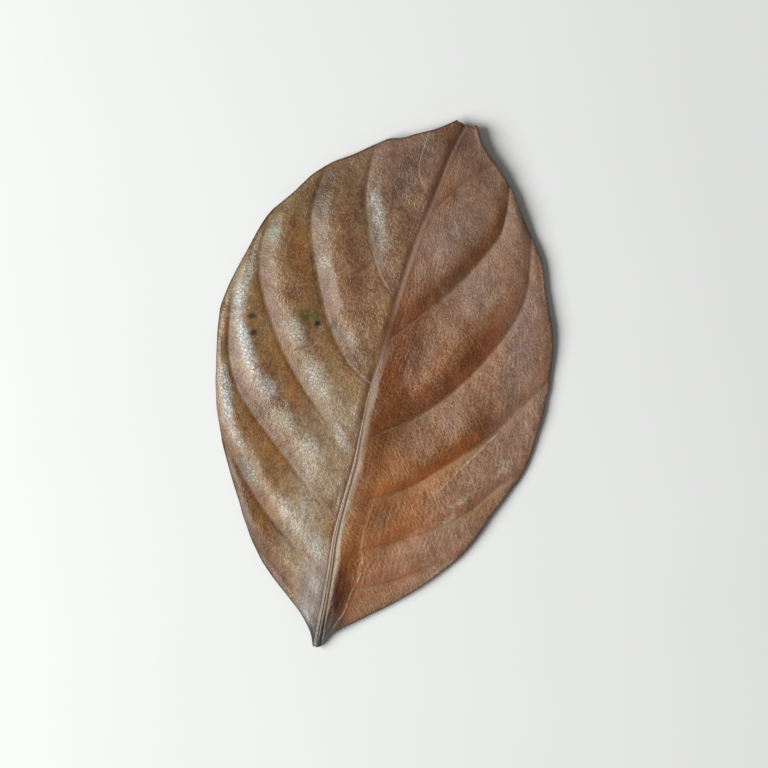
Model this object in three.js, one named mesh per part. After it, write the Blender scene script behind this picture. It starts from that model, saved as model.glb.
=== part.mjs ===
import * as THREE from 'three';

// A dry fallen leaf lying face up on a surface: one thin closed solid with a raised midrib and
// side veins below, panels that bulge up between the veins, a margin that rolls down, a tip
// that is bent down and the short stub of the stalk.
// Millimetres, +Z up. Z = 0 is the surface that the leaf lies on. The base points to -Y and the
// tip to +Y, and seen from above the wider half is on the -X side.

// Driving dimensions
const LEAF_LENGTH = 150;          // end of the stub to the bent tip, seen from above
const BLADE_THICKNESS = 0.5;      // leathery blade
const MARGIN_THICKNESS = 0.36;    // blade at its edge
const RIB_TOP_BASE = 0.35;        // midrib above the blade, at the stub
const RIB_TOP_TIP = 0.1;          // midrib above the blade, at the tip
const KEEL_BASE = 1.15;           // midrib below the blade, at the stub
const KEEL_TIP = 0.3;             // midrib below the blade, at the tip
const RIB_HALF_WIDTH_BASE = 1.05; // half width of the midrib, at the stub
const RIB_HALF_WIDTH_TIP = 0.55;  // half width of the midrib, at the tip
const SIDE_RIB = 0.28;            // side veins below the blade, beside the midrib
const SIDE_RIB_HALF_WIDTH = 0.9;
const MARGIN_ROLL = 0.55;         // how far the margin rolls down
const MARGIN_ROLL_WIDTH = 2.6;
const TIP_BEND_RADIUS = 1.4;      // the tip bends down over this radius
const TIP_BEND_ANGLE = 112;       // degrees
const TIP_TAIL = 2.1;             // straight length after the bend
const TIP_END_WIDTH = 1.0;
const LINE_PITCH = 3.3;           // spacing of the mesh lines along the leaf
const COLUMNS = 14;               // mesh columns from the midrib to the margin

// Traced lines, for a leaf of 150 mm with the end of its stub at 0, 0.
const TRACED_LENGTH = 150;
const MIDRIB = [
  [0.1, 0.0], [-0.2, 1.9], [-0.8, 7.5], [-1.3, 13.1], [-1.9, 18.6], [-2.6, 24.2], [-3.4, 29.7], [-3.7, 35.3],
  [-3.8, 41.0], [-3.8, 46.7], [-3.9, 52.4], [-4.4, 58.0], [-4.9, 63.6], [-5.3, 69.2], [-5.5, 74.8],
  [-5.3, 80.6], [-5.1, 86.4], [-5.0, 92.1], [-4.9, 97.9], [-4.9, 103.6], [-4.7, 109.4], [-4.4, 115.2],
  [-4.0, 121.1], [-3.4, 127.0], [-3.0, 132.8], [-2.5, 138.7], [-1.5, 144.7], [-0.7, 148.3],
];
const EDGE_LEFT = [
  [-1.0, 0.0], [-2.6, 3.2], [-4.8, 5.8], [-7.3, 8.1], [-10.1, 10.2], [-12.9, 12.2], [-15.7, 14.2],
  [-18.4, 16.3], [-21.0, 18.5], [-23.3, 21.0], [-25.6, 23.6], [-27.6, 26.4], [-29.6, 29.2], [-31.4, 32.2],
  [-33.3, 35.0], [-35.2, 37.9], [-37.0, 40.8], [-38.8, 43.8], [-40.5, 46.7], [-42.0, 49.8], [-43.5, 52.9],
  [-44.9, 56.0], [-46.0, 59.3], [-47.1, 62.6], [-47.9, 65.9], [-48.8, 69.2], [-49.6, 72.6], [-50.4, 75.9],
  [-51.0, 79.3], [-51.5, 82.7], [-51.3, 86.1], [-50.9, 89.6], [-50.3, 93.0], [-49.6, 96.3], [-48.8, 99.7],
  [-48.1, 103.0], [-47.3, 106.4], [-46.3, 109.7], [-44.9, 112.8], [-43.0, 115.6], [-41.0, 118.5],
  [-39.3, 121.4], [-37.5, 124.4], [-35.3, 127.0], [-32.9, 129.5], [-30.1, 131.5], [-27.4, 133.5],
  [-24.8, 135.8], [-22.2, 138.0], [-19.4, 140.1], [-16.2, 141.2], [-13.3, 143.0], [-10.3, 144.7],
  [-7.4, 146.5], [-4.7, 148.7],
];
const EDGE_RIGHT = [
  [1.0, 0.6], [2.5, 3.9], [4.8, 6.4], [7.3, 8.7], [9.9, 11.0], [12.4, 13.3], [15.0, 15.6], [17.4, 18.0],
  [19.8, 20.4], [22.1, 22.9], [24.3, 25.5], [26.4, 28.2], [28.5, 31.0], [30.4, 33.8], [32.0, 36.9],
  [33.3, 40.0], [34.5, 43.2], [35.5, 46.5], [36.7, 49.7], [38.0, 52.9], [39.2, 56.1], [40.5, 59.2],
  [41.4, 62.5], [41.8, 65.9], [42.0, 69.3], [42.0, 72.7], [42.1, 76.1], [42.1, 79.5], [41.7, 82.9],
  [41.6, 86.3], [41.0, 89.7], [40.5, 93.1], [39.9, 96.4], [38.9, 99.7], [37.7, 102.9], [36.1, 105.9],
  [34.6, 109.0], [33.1, 112.1], [31.9, 115.3], [30.6, 118.4], [28.6, 121.3], [26.4, 123.9], [24.2, 126.4],
  [22.0, 129.1], [19.8, 131.7], [17.8, 134.5], [15.4, 137.0], [12.9, 139.2], [10.3, 141.4], [7.5, 143.5],
  [5.1, 145.9], [3.2, 148.9],
];
const VEINS_LEFT = [
  [
    [-1.9, 9.5], [-7.7, 13.3], [-13.9, 16.3], [-20.0, 19.6], [-25.6, 23.7],
  ],
  [
    [-1.6, 16.4], [-7.6, 20.6], [-13.6, 24.8], [-19.7, 28.8], [-25.6, 33.1], [-31.1, 38.0], [-36.2, 43.2],
    [-41.3, 48.4],
  ],
  [
    [-4.3, 34.8], [-10.1, 38.8], [-16.0, 42.5], [-21.6, 46.7], [-27.2, 50.9], [-32.8, 55.1], [-38.2, 59.5],
    [-42.7, 64.9], [-45.8, 71.2], [-47.7, 77.9], [-49.0, 84.8], [-50.5, 91.6],
  ],
  [
    [-5.3, 55.1], [-11.2, 58.7], [-16.9, 62.4], [-22.4, 66.5], [-27.4, 71.2], [-32.2, 76.1], [-36.3, 81.5],
    [-40.1, 87.2], [-43.3, 93.2], [-45.3, 99.8], [-45.5, 106.6], [-44.5, 113.4],
  ],
  [
    [-5.6, 73.7], [-12.1, 77.0], [-17.6, 81.8], [-22.2, 87.4], [-26.0, 93.7], [-29.3, 100.2], [-32.4, 106.8],
    [-34.5, 113.9], [-34.7, 121.1], [-34.0, 128.4],
  ],
  [
    [-4.2, 97.8], [-9.7, 101.4], [-13.7, 106.6], [-17.1, 112.2], [-20.0, 118.0], [-21.9, 124.3],
    [-22.6, 130.8], [-23.1, 137.3],
  ],
  [
    [-4.4, 119.2], [-10.0, 123.0], [-14.6, 127.8], [-16.7, 134.0], [-17.2, 140.7],
  ],
  [
    [-3.8, 126.9], [-7.4, 130.4], [-9.6, 135.0], [-9.8, 140.1], [-9.6, 145.2],
  ],
];
const VEINS_RIGHT = [
  [
    [-0.9, 12.0], [3.9, 16.4], [9.3, 20.0], [14.9, 23.3], [20.2, 27.0], [25.2, 31.1], [30.6, 34.6],
  ],
  [
    [-1.9, 24.4], [4.0, 28.6], [10.3, 32.1], [16.2, 36.2], [22.2, 40.1], [27.6, 44.9], [32.2, 50.5],
    [36.1, 56.6], [41.1, 61.7],
  ],
  [
    [-2.6, 39.6], [3.2, 43.0], [8.8, 46.7], [13.9, 51.0], [18.4, 55.9], [22.9, 60.8], [27.4, 65.7],
    [31.5, 71.0], [34.8, 76.8], [37.7, 82.8], [41.1, 88.6],
  ],
  [
    [-3.4, 57.1], [1.7, 62.2], [7.1, 66.9], [11.9, 72.2], [16.4, 77.8], [20.0, 84.0], [23.3, 90.3],
    [25.9, 97.0], [28.0, 103.8], [28.3, 111.0], [27.1, 118.0], [25.4, 125.0],
  ],
  [
    [-4.4, 86.3], [0.0, 91.9], [3.8, 97.8], [7.8, 103.6], [11.3, 109.7], [14.3, 116.0], [16.9, 122.6],
    [17.0, 129.6], [15.8, 136.5],
  ],
  [
    [-4.5, 118.4], [-1.8, 124.7], [1.7, 130.7], [5.7, 136.3], [10.4, 141.3],
  ],
];
const GUIDES_LEFT = [
  { before: 0, line: [
    [-0.1, 1.8], [-1.5, 2.9], [-3.0, 3.9],
  ] },
  { before: 0, line: [
    [-0.8, 5.2], [-5.4, 7.8], [-10.1, 10.1],
  ] },
  { before: 2, line: [
    [-2.8, 25.5], [-11.0, 30.4], [-18.9, 35.8], [-26.4, 41.8], [-33.4, 48.3], [-39.9, 55.3], [-45.3, 63.3],
    [-49.4, 71.9],
  ] },
];
const GUIDES_RIGHT = [
  { before: 0, line: [
    [-0.1, 1.8], [1.0, 2.1], [1.9, 2.8],
  ] },
  { before: 0, line: [
    [-0.6, 5.6], [3.0, 6.8], [6.5, 8.0],
  ] },
];
const TIP_LEFT = [-3.1, 150.2];
const TIP_MID = [-0.8, 149.7];
const TIP_RIGHT = [2.4, 150.2];
const CREASE = [
  [3.2, 5.8], [4.8, 13.7], [5.8, 21.7], [4.5, 29.6], [3.8, 37.6], [4.1, 45.6], [4.8, 53.7], [5.3, 61.7],
  [4.1, 69.6], [2.5, 77.5], [1.9, 85.6],
];

// Heights of the blade's broad form: one row per distance from the midrib (left is negative),
// one column per station along the midrib (0 at the stub, 1 where the tip starts to bend).
const FORM_ACROSS = [-48, -32, -16, 0, 16, 32, 44];
const FORM_ALONG = [0, 0.17, 0.33, 0.5, 0.67, 0.83, 1];
const FORM = [
  [-4.0, -1.2, 1.0, 1.8, 1.8, 0.9, -1.0],
  [-1.4, 0.9, 2.6, 3.4, 3.5, 3.0, 1.8],
  [0.3, 2.4, 3.9, 4.3, 4.4, 4.0, 3.4],
  [1.3, 3.2, 4.5, 5.0, 5.0, 4.6, 3.7],
  [0.7, 2.8, 4.0, 4.3, 4.4, 4.1, 3.4],
  [-0.2, 2.0, 3.5, 3.9, 3.9, 3.3, 2.0],
  [-2.0, 0.4, 2.2, 3.0, 3.0, 2.0, 0.4],
];
// Panels between neighbouring veins, base to tip: height of the bulge and where across the panel it peaks.
const RELIEF_VEINS = 6;
const BULGE_LEFT = [0.5, 1.0, 1.35, 1.5, 1.4, 1.25, 0.7];
const PEAK_LEFT = [0.5, 0.46, 0.44, 0.42, 0.38, 0.32, 0.28];
const BULGE_RIGHT = [0.5, 0.7, 1.2, 2.1, 2.4, 2.1, 0.9];
const PEAK_RIGHT = [0.4, 0.4, 0.4, 0.4, 0.4, 0.4, 0.4];
// The panels start at some distance from the midrib, and the veins fall away from it over the same distance.
const ONSET_LEFT = [1.5, 14.5], ONSET_RIGHT = [3, 20];
const DROP_LEFT = [0, 0.8, 1.4, 1.5, 1.5, 1.2, 0.3];
const DROP_RIGHT = [0, 0.7, 1.1, 1.5, 1.5, 1.3, 0.3];
// Part of the bulge that is left at the margin, and the width over which the rest fades.
const HELD_LEFT = [0.6, 9], HELD_RIGHT = [0.3, 28];
// Low fold beside the midrib, on the right: distances from the midrib and heights.
const FOLD_AT = [0, 1, 2, 5, 8, 13, 28, 60];
const FOLD = [0, 0.35, 0.5, 0.1, -0.3, -0.3, 0, 0];

const clamp = (x, a, b) => Math.min(b, Math.max(a, x));
const smooth = (a, b, x) => { const t = clamp((x - a) / (b - a), 0, 1); return t * t * (3 - 2 * t); };
const mix = (a, b, t) => a + (b - a) * t;

// A smooth curve through control points, kept as a fine polyline with its arc length.
class Line {
  constructor(points, steps = 12) {
    const p = [
      [2 * points[0][0] - points[1][0], 2 * points[0][1] - points[1][1]],
      ...points,
      [2 * points.at(-1)[0] - points.at(-2)[0], 2 * points.at(-1)[1] - points.at(-2)[1]],
    ];
    this.p = [];
    for (let i = 1; i < p.length - 2; i++) {
      for (let k = 0; k < steps; k++) {
        const t = k / steps;
        this.p.push([0, 1].map((c) => {
          const [a, b, d, e] = [p[i - 1][c], p[i][c], p[i + 1][c], p[i + 2][c]];
          return 0.5 * (2 * b + (d - a) * t + (2 * a - 5 * b + 4 * d - e) * t * t + (3 * b - a - 3 * d + e) * t ** 3);
        }));
      }
    }
    this.p.push(p.at(-2));
    const arc = [0];
    for (let i = 1; i < this.p.length; i++) {
      arc.push(arc[i - 1] + Math.hypot(this.p[i][0] - this.p[i - 1][0], this.p[i][1] - this.p[i - 1][1]));
    }
    this.length = arc.at(-1);
    this.u = arc.map((a) => a / this.length);
  }
  at(u) {
    let i = 1;
    while (i < this.u.length - 1 && this.u[i] < u) i++;
    const t = clamp((u - this.u[i - 1]) / (this.u[i] - this.u[i - 1]), 0, 1);
    return [mix(this.p[i - 1][0], this.p[i][0], t), mix(this.p[i - 1][1], this.p[i][1], t)];
  }
  near(x, y) {
    let best = Infinity, u = 0;
    for (let i = 1; i < this.p.length; i++) {
      const [ax, ay] = this.p[i - 1], dx = this.p[i][0] - ax, dy = this.p[i][1] - ay;
      const t = clamp(((x - ax) * dx + (y - ay) * dy) / (dx * dx + dy * dy), 0, 1);
      const d = Math.hypot(x - ax - t * dx, y - ay - t * dy);
      if (d < best) { best = d; u = mix(this.u[i - 1], this.u[i], t); }
    }
    return { d: best, u };
  }
}

const hermite = (y0, y1, m0, m1, h, t) => (2 * t ** 3 - 3 * t * t + 1) * y0 + (t ** 3 - 2 * t * t + t) * h * m0
  + (3 * t * t - 2 * t ** 3) * y1 + (t ** 3 - t * t) * h * m1;
function cell(x, v) {
  let i = 0;
  while (i < x.length - 2 && x[i + 1] < v) i++;
  return i;
}
// Shape-preserving cubic through the knots x, y.
function monotone(x, y, v) {
  const n = x.length, h = [], d = [], m = [];
  for (let i = 0; i < n - 1; i++) { h.push(x[i + 1] - x[i]); d.push((y[i + 1] - y[i]) / h[i]); }
  m[0] = d[0]; m[n - 1] = d[n - 2];
  for (let i = 1; i < n - 1; i++) {
    const w1 = 2 * h[i] + h[i - 1], w2 = h[i] + 2 * h[i - 1];
    m[i] = d[i - 1] * d[i] > 0 ? (w1 + w2) / (w1 / d[i - 1] + w2 / d[i]) : 0;
  }
  const i = cell(x, v);
  return hermite(y[i], y[i + 1], m[i], m[i + 1], h[i], (v - x[i]) / h[i]);
}
// Smooth cubic through the knots x, y.
function cubic(x, y, v) {
  const n = x.length, h = [], d = [], m = [];
  for (let i = 0; i < n - 1; i++) { h.push(x[i + 1] - x[i]); d.push((y[i + 1] - y[i]) / h[i]); }
  m[0] = d[0]; m[n - 1] = d[n - 2];
  for (let i = 1; i < n - 1; i++) m[i] = (d[i - 1] * h[i] + d[i] * h[i - 1]) / (h[i] + h[i - 1]);
  const i = cell(x, v);
  return hermite(y[i], y[i + 1], m[i], m[i + 1], h[i], (v - x[i]) / h[i]);
}

const midrib = new Line(MIDRIB);
const NODES = 13;
const FRACTIONS = Array.from({ length: NODES }, (_, j) => j / (NODES - 1));

// One half of the blade: lines from the midrib to the margin that follow the side veins.
class Half {
  constructor(side, edge, veins, guides, relief) {
    Object.assign(this, { side, ...relief });
    this.edge = new Line(edge);
    this.t = [0]; this.e = [0]; this.a = [FRACTIONS.slice()]; this.b = [FRACTIONS.map(() => 0)];
    this.veinLines = [];
    const veinT = [];
    veins.forEach((vein, i) => {
      guides.filter((g) => g.before === i).forEach((g) => this.addLine(g.line));
      veinT.push(this.addLine(vein));
      this.veinLines.push(new Line(vein));
    });
    this.t.push(1); this.e.push(1); this.a.push(FRACTIONS.slice()); this.b.push(FRACTIONS.map(() => 0));
    this.panelT = [0, ...veinT.slice(0, RELIEF_VEINS), 1];
  }
  addLine(points) {
    const p = points.map((q) => q.slice());
    const t = midrib.near(...p[0]).u, e = this.edge.near(...p.at(-1)).u;
    p[0] = midrib.at(t); p[p.length - 1] = this.edge.at(e);
    const line = new Line(p), [x0, y0] = p[0], cx = p.at(-1)[0] - x0, cy = p.at(-1)[1] - y0, cc = cx * cx + cy * cy;
    const q = FRACTIONS.map((f) => line.at(f));
    this.t.push(t); this.e.push(e);
    this.a.push(q.map(([x, y]) => ((x - x0) * cx + (y - y0) * cy) / cc));
    this.b.push(q.map(([x, y]) => ((y - y0) * cx - (x - x0) * cy) / cc));
    return t;
  }
  // The line that leaves the midrib at station t.
  line(t) {
    const m = midrib.at(t), e = this.edge.at(monotone(this.t, this.e, t));
    const a = FRACTIONS.map((_, j) => monotone(this.t, this.a.map((r) => r[j]), t));
    const b = FRACTIONS.map((_, j) => monotone(this.t, this.b.map((r) => r[j]), t));
    const cx = e[0] - m[0], cy = e[1] - m[1];
    return {
      length: Math.hypot(cx, cy),
      at: (s) => {
        const u = monotone(FRACTIONS, a, s), v = monotone(FRACTIONS, b, s);
        return [m[0] + u * cx - v * cy, m[1] + u * cy + v * cx];
      },
    };
  }
  // Height of the blade's upper face, without the midrib.
  height(x, y, t, s, panel) {
    const { d: dm, u: tm } = midrib.near(x, y), { d: de } = this.edge.near(x, y);
    const form = FORM.map((row) => cubic(FORM_ALONG, row, tm));
    let z = cubic(FORM_ACROSS, form, this.side * dm);
    const k = cell(this.panelT, t), t0 = this.panelT[k], t1 = this.panelT[k + 1], f = clamp((t - t0) / (t1 - t0), 0, 1);
    const [p, q] = [panel[k].at(s), panel[k + 1].at(s)], width = Math.hypot(p[0] - q[0], p[1] - q[1]);
    const c = this.peak[k], g = f < c ? 1 - (1 - f / c) ** 1.6 : 1 - ((f - c) / (1 - c)) ** 1.7;
    const onset = smooth(...this.onset, dm);
    z += this.bulge[k] * Math.tanh((0.16 * width) / 1.8) * g * onset * mix(this.held[0], 1, smooth(0, this.held[1], de));
    z -= monotone(FORM_ALONG, this.drop, tm) * onset;
    if (this.side > 0) z += monotone(FOLD_AT, FOLD, dm) * smooth(0.03, 0.1, tm) * (1 - smooth(0.54, 0.68, tm));
    z -= this.roll * (1 - smooth(0, MARGIN_ROLL_WIDTH, de)) ** 2 * smooth(0.02, 0.06, tm) * (1 - smooth(0.93, 1, tm));
    return { z, dm, tm, de };
  }
}
const halves = [
  new Half(-1, EDGE_LEFT, VEINS_LEFT, GUIDES_LEFT, {
    bulge: BULGE_LEFT, peak: PEAK_LEFT, onset: ONSET_LEFT, drop: DROP_LEFT, held: HELD_LEFT, roll: MARGIN_ROLL,
  }),
  new Half(1, EDGE_RIGHT, VEINS_RIGHT, GUIDES_RIGHT, {
    bulge: BULGE_RIGHT, peak: PEAK_RIGHT, onset: ONSET_RIGHT, drop: DROP_RIGHT, held: HELD_RIGHT, roll: MARGIN_ROLL / 2,
  }),
];

// Stations of the mesh lines: one on every vein of either half, and more between them.
function stations() {
  const knots = [...new Set([0, 1, ...halves.flatMap((h) => h.panelT)])].sort((a, b) => a - b);
  const out = [0];
  for (let i = 1; i < knots.length; i++) {
    const edge = halves.map((h) => h.edge.length * (monotone(h.t, h.e, knots[i]) - monotone(h.t, h.e, knots[i - 1])));
    const span = (knots[i] - knots[i - 1]) * midrib.length;
    const n = Math.max(1, Math.round((0.5 * span + 0.25 * (edge[0] + edge[1])) / LINE_PITCH));
    for (let k = 1; k <= n; k++) out.push(mix(knots[i - 1], knots[i], k / n));
  }
  return out;
}
// Fractions of the mesh columns on a line of this length: close together at the midrib and at the margin.
function columns(length) {
  const near = [0.75, 1.5, 3], far = [1, 2.8], n = COLUMNS;
  const head = near.map((d, j) => Math.min(d / length, (j + 1) / n));
  const foot = far.map((d, j) => 1 - Math.min(d / length, (j + 1) / n)).reverse();
  const free = n - head.length - foot.length;
  const body = Array.from({ length: free - 1 }, (_, j) => mix(head.at(-1), foot[0], (j + 1) / free));
  return [0, ...head, ...body, ...foot, 1];
}

// Rows of the upper face, from the left margin over the midrib to the right margin.
const panels = halves.map((h) => h.panelT.map((t) => h.line(t)));
const rows = stations().map((t) => {
  const [left, right] = halves.map((h, i) => {
    const line = h.line(t);
    return columns(line.length).map((s) => {
      const [x, y] = line.at(s), r = h.height(x, y, t, s, panels[i]);
      const vein = Math.min(...h.veinLines.map((v) => v.near(x, y).d));
      return { x, y, s, vein, half: i, ...r };
    });
  });
  left[0].z = right[0].z = 0.5 * (left[0].z + right[0].z);
  return [...left.slice(1).reverse(), ...right];
});
// The tip: rows that follow the bend, narrowing to a blunt end.
const start = rows.at(-1), mid = COLUMNS;
const fold = (p) => {
  const c = p.half === 0 ? TIP_LEFT : TIP_RIGHT;
  return [mix(TIP_MID[0], c[0], p.s), mix(TIP_MID[1], c[1], p.s)];
};
const bend = (TIP_BEND_ANGLE * Math.PI) / 180, BEND_ROWS = 7, TAIL_ROWS = 2;
const forward = [TIP_MID[0] - start[mid].x, TIP_MID[1] - start[mid].y], reach = Math.hypot(...forward);
const past = TIP_BEND_RADIUS * (bend - Math.PI / 2) + TIP_TAIL, foldWidth = Math.hypot(TIP_LEFT[0] - TIP_RIGHT[0], TIP_LEFT[1] - TIP_RIGHT[1]);
for (let k = 1; k <= BEND_ROWS + TAIL_ROWS; k++) {
  const angle = bend * Math.min(1, k / BEND_ROWS), tail = TIP_TAIL * Math.max(0, (k - BEND_ROWS) / TAIL_ROWS);
  const done = clamp((TIP_BEND_RADIUS * (angle - Math.PI / 2) + tail) / past, 0, 1);
  const taper = mix(1, TIP_END_WIDTH / foldWidth, done), back = (tail * Math.cos(bend)) / reach;
  const at = (p) => { const f = fold(p); return [mix(p.x, f[0], Math.sin(angle)), mix(p.y, f[1], Math.sin(angle))]; };
  const axis = at(start[mid]);
  rows.push(start.map((p) => {
    const q = at(p);
    return {
      ...p,
      x: axis[0] + (q[0] - axis[0]) * taper + forward[0] * back,
      y: axis[1] + (q[1] - axis[1]) * taper + forward[1] * back,
      z: p.z - TIP_BEND_RADIUS * (1 - Math.cos(angle)) - tail * Math.sin(bend),
      dm: p.dm * taper,
      tm: 1,
    };
  }));
}

// Normals of the upper face, then the midrib above it and the lower face below it.
const across = 2 * COLUMNS + 1;
const point = (i, j) => new THREE.Vector3(rows[i][j].x, rows[i][j].y, rows[i][j].z);
const normals = rows.map((row, i) => row.map((_, j) => {
  const a = point(Math.max(0, i - 1), j), b = point(Math.min(rows.length - 1, i + 1), j);
  const c = point(i, Math.max(0, j - 1)), d = point(i, Math.min(across - 1, j + 1));
  return d.sub(c).cross(b.sub(a)).normalize();
}));
const upper = [], lower = [];
rows.forEach((row, i) => row.forEach((p, j) => {
  const n = normals[i][j], v = point(i, j), taper = Math.sqrt(p.tm);
  const halfWidth = mix(RIB_HALF_WIDTH_BASE, RIB_HALF_WIDTH_TIP, taper);
  const dome = (w) => Math.sqrt(Math.max(0, 1 - (p.dm / w) ** 2));
  const ribTop = mix(RIB_TOP_BASE, RIB_TOP_TIP, Math.min(1, taper * 1.6)) * dome(halfWidth * 1.05);
  const keel = mix(KEEL_BASE, KEEL_TIP, taper) * dome(halfWidth * 1.6);
  const side = SIDE_RIB * (1 - smooth(0.25, 1, p.s)) * Math.exp(-((p.vein / SIDE_RIB_HALF_WIDTH) ** 2)) * smooth(0.8, 3, p.dm);
  const depth = mix(MARGIN_THICKNESS, BLADE_THICKNESS, smooth(0, 3, p.de)) + Math.max(keel, side);
  upper.push(v.clone().addScaledVector(n, ribTop));
  lower.push(v.clone().addScaledVector(n, -depth));
}));

// One closed skin: upper face, lower face, margins and the two cut ends.
const vertices = [...upper, ...lower], count = rows.length * across, index = [];
const quad = (a, b, c, d) => index.push(a, b, c, a, c, d);
const id = (i, j) => i * across + j;
for (let i = 0; i < rows.length - 1; i++) {
  for (let j = 0; j < across - 1; j++) {
    quad(id(i, j), id(i, j + 1), id(i + 1, j + 1), id(i + 1, j));
    quad(count + id(i, j), count + id(i + 1, j), count + id(i + 1, j + 1), count + id(i, j + 1));
  }
  quad(id(i + 1, 0), count + id(i + 1, 0), count + id(i, 0), id(i, 0));
  quad(id(i, across - 1), count + id(i, across - 1), count + id(i + 1, across - 1), id(i + 1, across - 1));
}
for (let j = 0; j < across - 1; j++) {
  const e = rows.length - 1;
  quad(count + id(0, j), count + id(0, j + 1), id(0, j + 1), id(0, j));
  quad(id(e, j), id(e, j + 1), count + id(e, j + 1), count + id(e, j));
}

// Origin: the middle of the leaf's box, on the surface it lies on.
const box = new THREE.Box3().setFromPoints(vertices), middle = box.getCenter(new THREE.Vector3());
const scale = LEAF_LENGTH / TRACED_LENGTH;
const positions = new Float32Array(vertices.flatMap((v) => [
  (v.x - middle.x) * scale, (v.y - middle.y) * scale, (v.z - box.min.z) * scale,
]));
const geometry = new THREE.BufferGeometry();
geometry.setAttribute('position', new THREE.BufferAttribute(positions, 3));
geometry.setIndex(index);
geometry.computeVertexNormals();

const leaf = new THREE.Mesh(geometry, new THREE.MeshStandardMaterial({ color: 0x8a6a50, roughness: 0.55, metalness: 0 }));
leaf.name = 'leaf';

const jackfruitLeaf = new THREE.Group();
jackfruitLeaf.add(leaf);
export default jackfruitLeaf;
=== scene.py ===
import math

import bpy
import numpy as np
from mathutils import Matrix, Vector


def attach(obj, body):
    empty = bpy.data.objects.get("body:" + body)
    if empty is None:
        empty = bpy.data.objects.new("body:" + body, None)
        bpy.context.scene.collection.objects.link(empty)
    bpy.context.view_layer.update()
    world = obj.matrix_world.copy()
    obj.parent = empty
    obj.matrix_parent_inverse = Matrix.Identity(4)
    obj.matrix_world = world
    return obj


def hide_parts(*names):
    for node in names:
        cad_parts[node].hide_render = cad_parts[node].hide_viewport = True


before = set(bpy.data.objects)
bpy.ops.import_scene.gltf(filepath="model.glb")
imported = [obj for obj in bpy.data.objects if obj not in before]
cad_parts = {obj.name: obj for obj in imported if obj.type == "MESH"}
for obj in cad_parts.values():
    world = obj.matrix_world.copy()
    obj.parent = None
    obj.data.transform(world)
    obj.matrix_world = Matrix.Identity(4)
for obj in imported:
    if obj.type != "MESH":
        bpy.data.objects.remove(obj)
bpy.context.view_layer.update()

# A dry fallen leaf seen from above. The traced lines below are in millimetres, with the end of the stub at 0, 0
# and the tip towards +Y. ORIGIN is the point of that sheet that is the origin of the part's frame.
ORIGIN = np.array([-4.6955, 75.0767, -0.2469])

MIDRIB = [
  [0.1, 0.0], [-0.2, 1.9], [-0.8, 7.5], [-1.3, 13.1], [-1.9, 18.6], [-2.6, 24.2], [-3.4, 29.7], [-3.7, 35.3],
  [-3.8, 41.0], [-3.8, 46.7], [-3.9, 52.4], [-4.4, 58.0], [-4.9, 63.6], [-5.3, 69.2], [-5.5, 74.8],
  [-5.3, 80.6], [-5.1, 86.4], [-5.0, 92.1], [-4.9, 97.9], [-4.9, 103.6], [-4.7, 109.4], [-4.4, 115.2],
  [-4.0, 121.1], [-3.4, 127.0], [-3.0, 132.8], [-2.5, 138.7], [-1.5, 144.7], [-0.7, 148.3],
]
EDGE_LEFT = [
  [-1.0, 0.0], [-2.6, 3.2], [-4.8, 5.8], [-7.3, 8.1], [-10.1, 10.2], [-12.9, 12.2], [-15.7, 14.2],
  [-18.4, 16.3], [-21.0, 18.5], [-23.3, 21.0], [-25.6, 23.6], [-27.6, 26.4], [-29.6, 29.2], [-31.4, 32.2],
  [-33.3, 35.0], [-35.2, 37.9], [-37.0, 40.8], [-38.8, 43.8], [-40.5, 46.7], [-42.0, 49.8], [-43.5, 52.9],
  [-44.9, 56.0], [-46.0, 59.3], [-47.1, 62.6], [-47.9, 65.9], [-48.8, 69.2], [-49.6, 72.6], [-50.4, 75.9],
  [-51.0, 79.3], [-51.5, 82.7], [-51.3, 86.1], [-50.9, 89.6], [-50.3, 93.0], [-49.6, 96.3], [-48.8, 99.7],
  [-48.1, 103.0], [-47.3, 106.4], [-46.3, 109.7], [-44.9, 112.8], [-43.0, 115.6], [-41.0, 118.5],
  [-39.3, 121.4], [-37.5, 124.4], [-35.3, 127.0], [-32.9, 129.5], [-30.1, 131.5], [-27.4, 133.5],
  [-24.8, 135.8], [-22.2, 138.0], [-19.4, 140.1], [-16.2, 141.2], [-13.3, 143.0], [-10.3, 144.7],
  [-7.4, 146.5], [-4.7, 148.7],
]
EDGE_RIGHT = [
  [1.0, 0.6], [2.5, 3.9], [4.8, 6.4], [7.3, 8.7], [9.9, 11.0], [12.4, 13.3], [15.0, 15.6], [17.4, 18.0],
  [19.8, 20.4], [22.1, 22.9], [24.3, 25.5], [26.4, 28.2], [28.5, 31.0], [30.4, 33.8], [32.0, 36.9],
  [33.3, 40.0], [34.5, 43.2], [35.5, 46.5], [36.7, 49.7], [38.0, 52.9], [39.2, 56.1], [40.5, 59.2],
  [41.4, 62.5], [41.8, 65.9], [42.0, 69.3], [42.0, 72.7], [42.1, 76.1], [42.1, 79.5], [41.7, 82.9],
  [41.6, 86.3], [41.0, 89.7], [40.5, 93.1], [39.9, 96.4], [38.9, 99.7], [37.7, 102.9], [36.1, 105.9],
  [34.6, 109.0], [33.1, 112.1], [31.9, 115.3], [30.6, 118.4], [28.6, 121.3], [26.4, 123.9], [24.2, 126.4],
  [22.0, 129.1], [19.8, 131.7], [17.8, 134.5], [15.4, 137.0], [12.9, 139.2], [10.3, 141.4], [7.5, 143.5],
  [5.1, 145.9], [3.2, 148.9],
]
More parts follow.
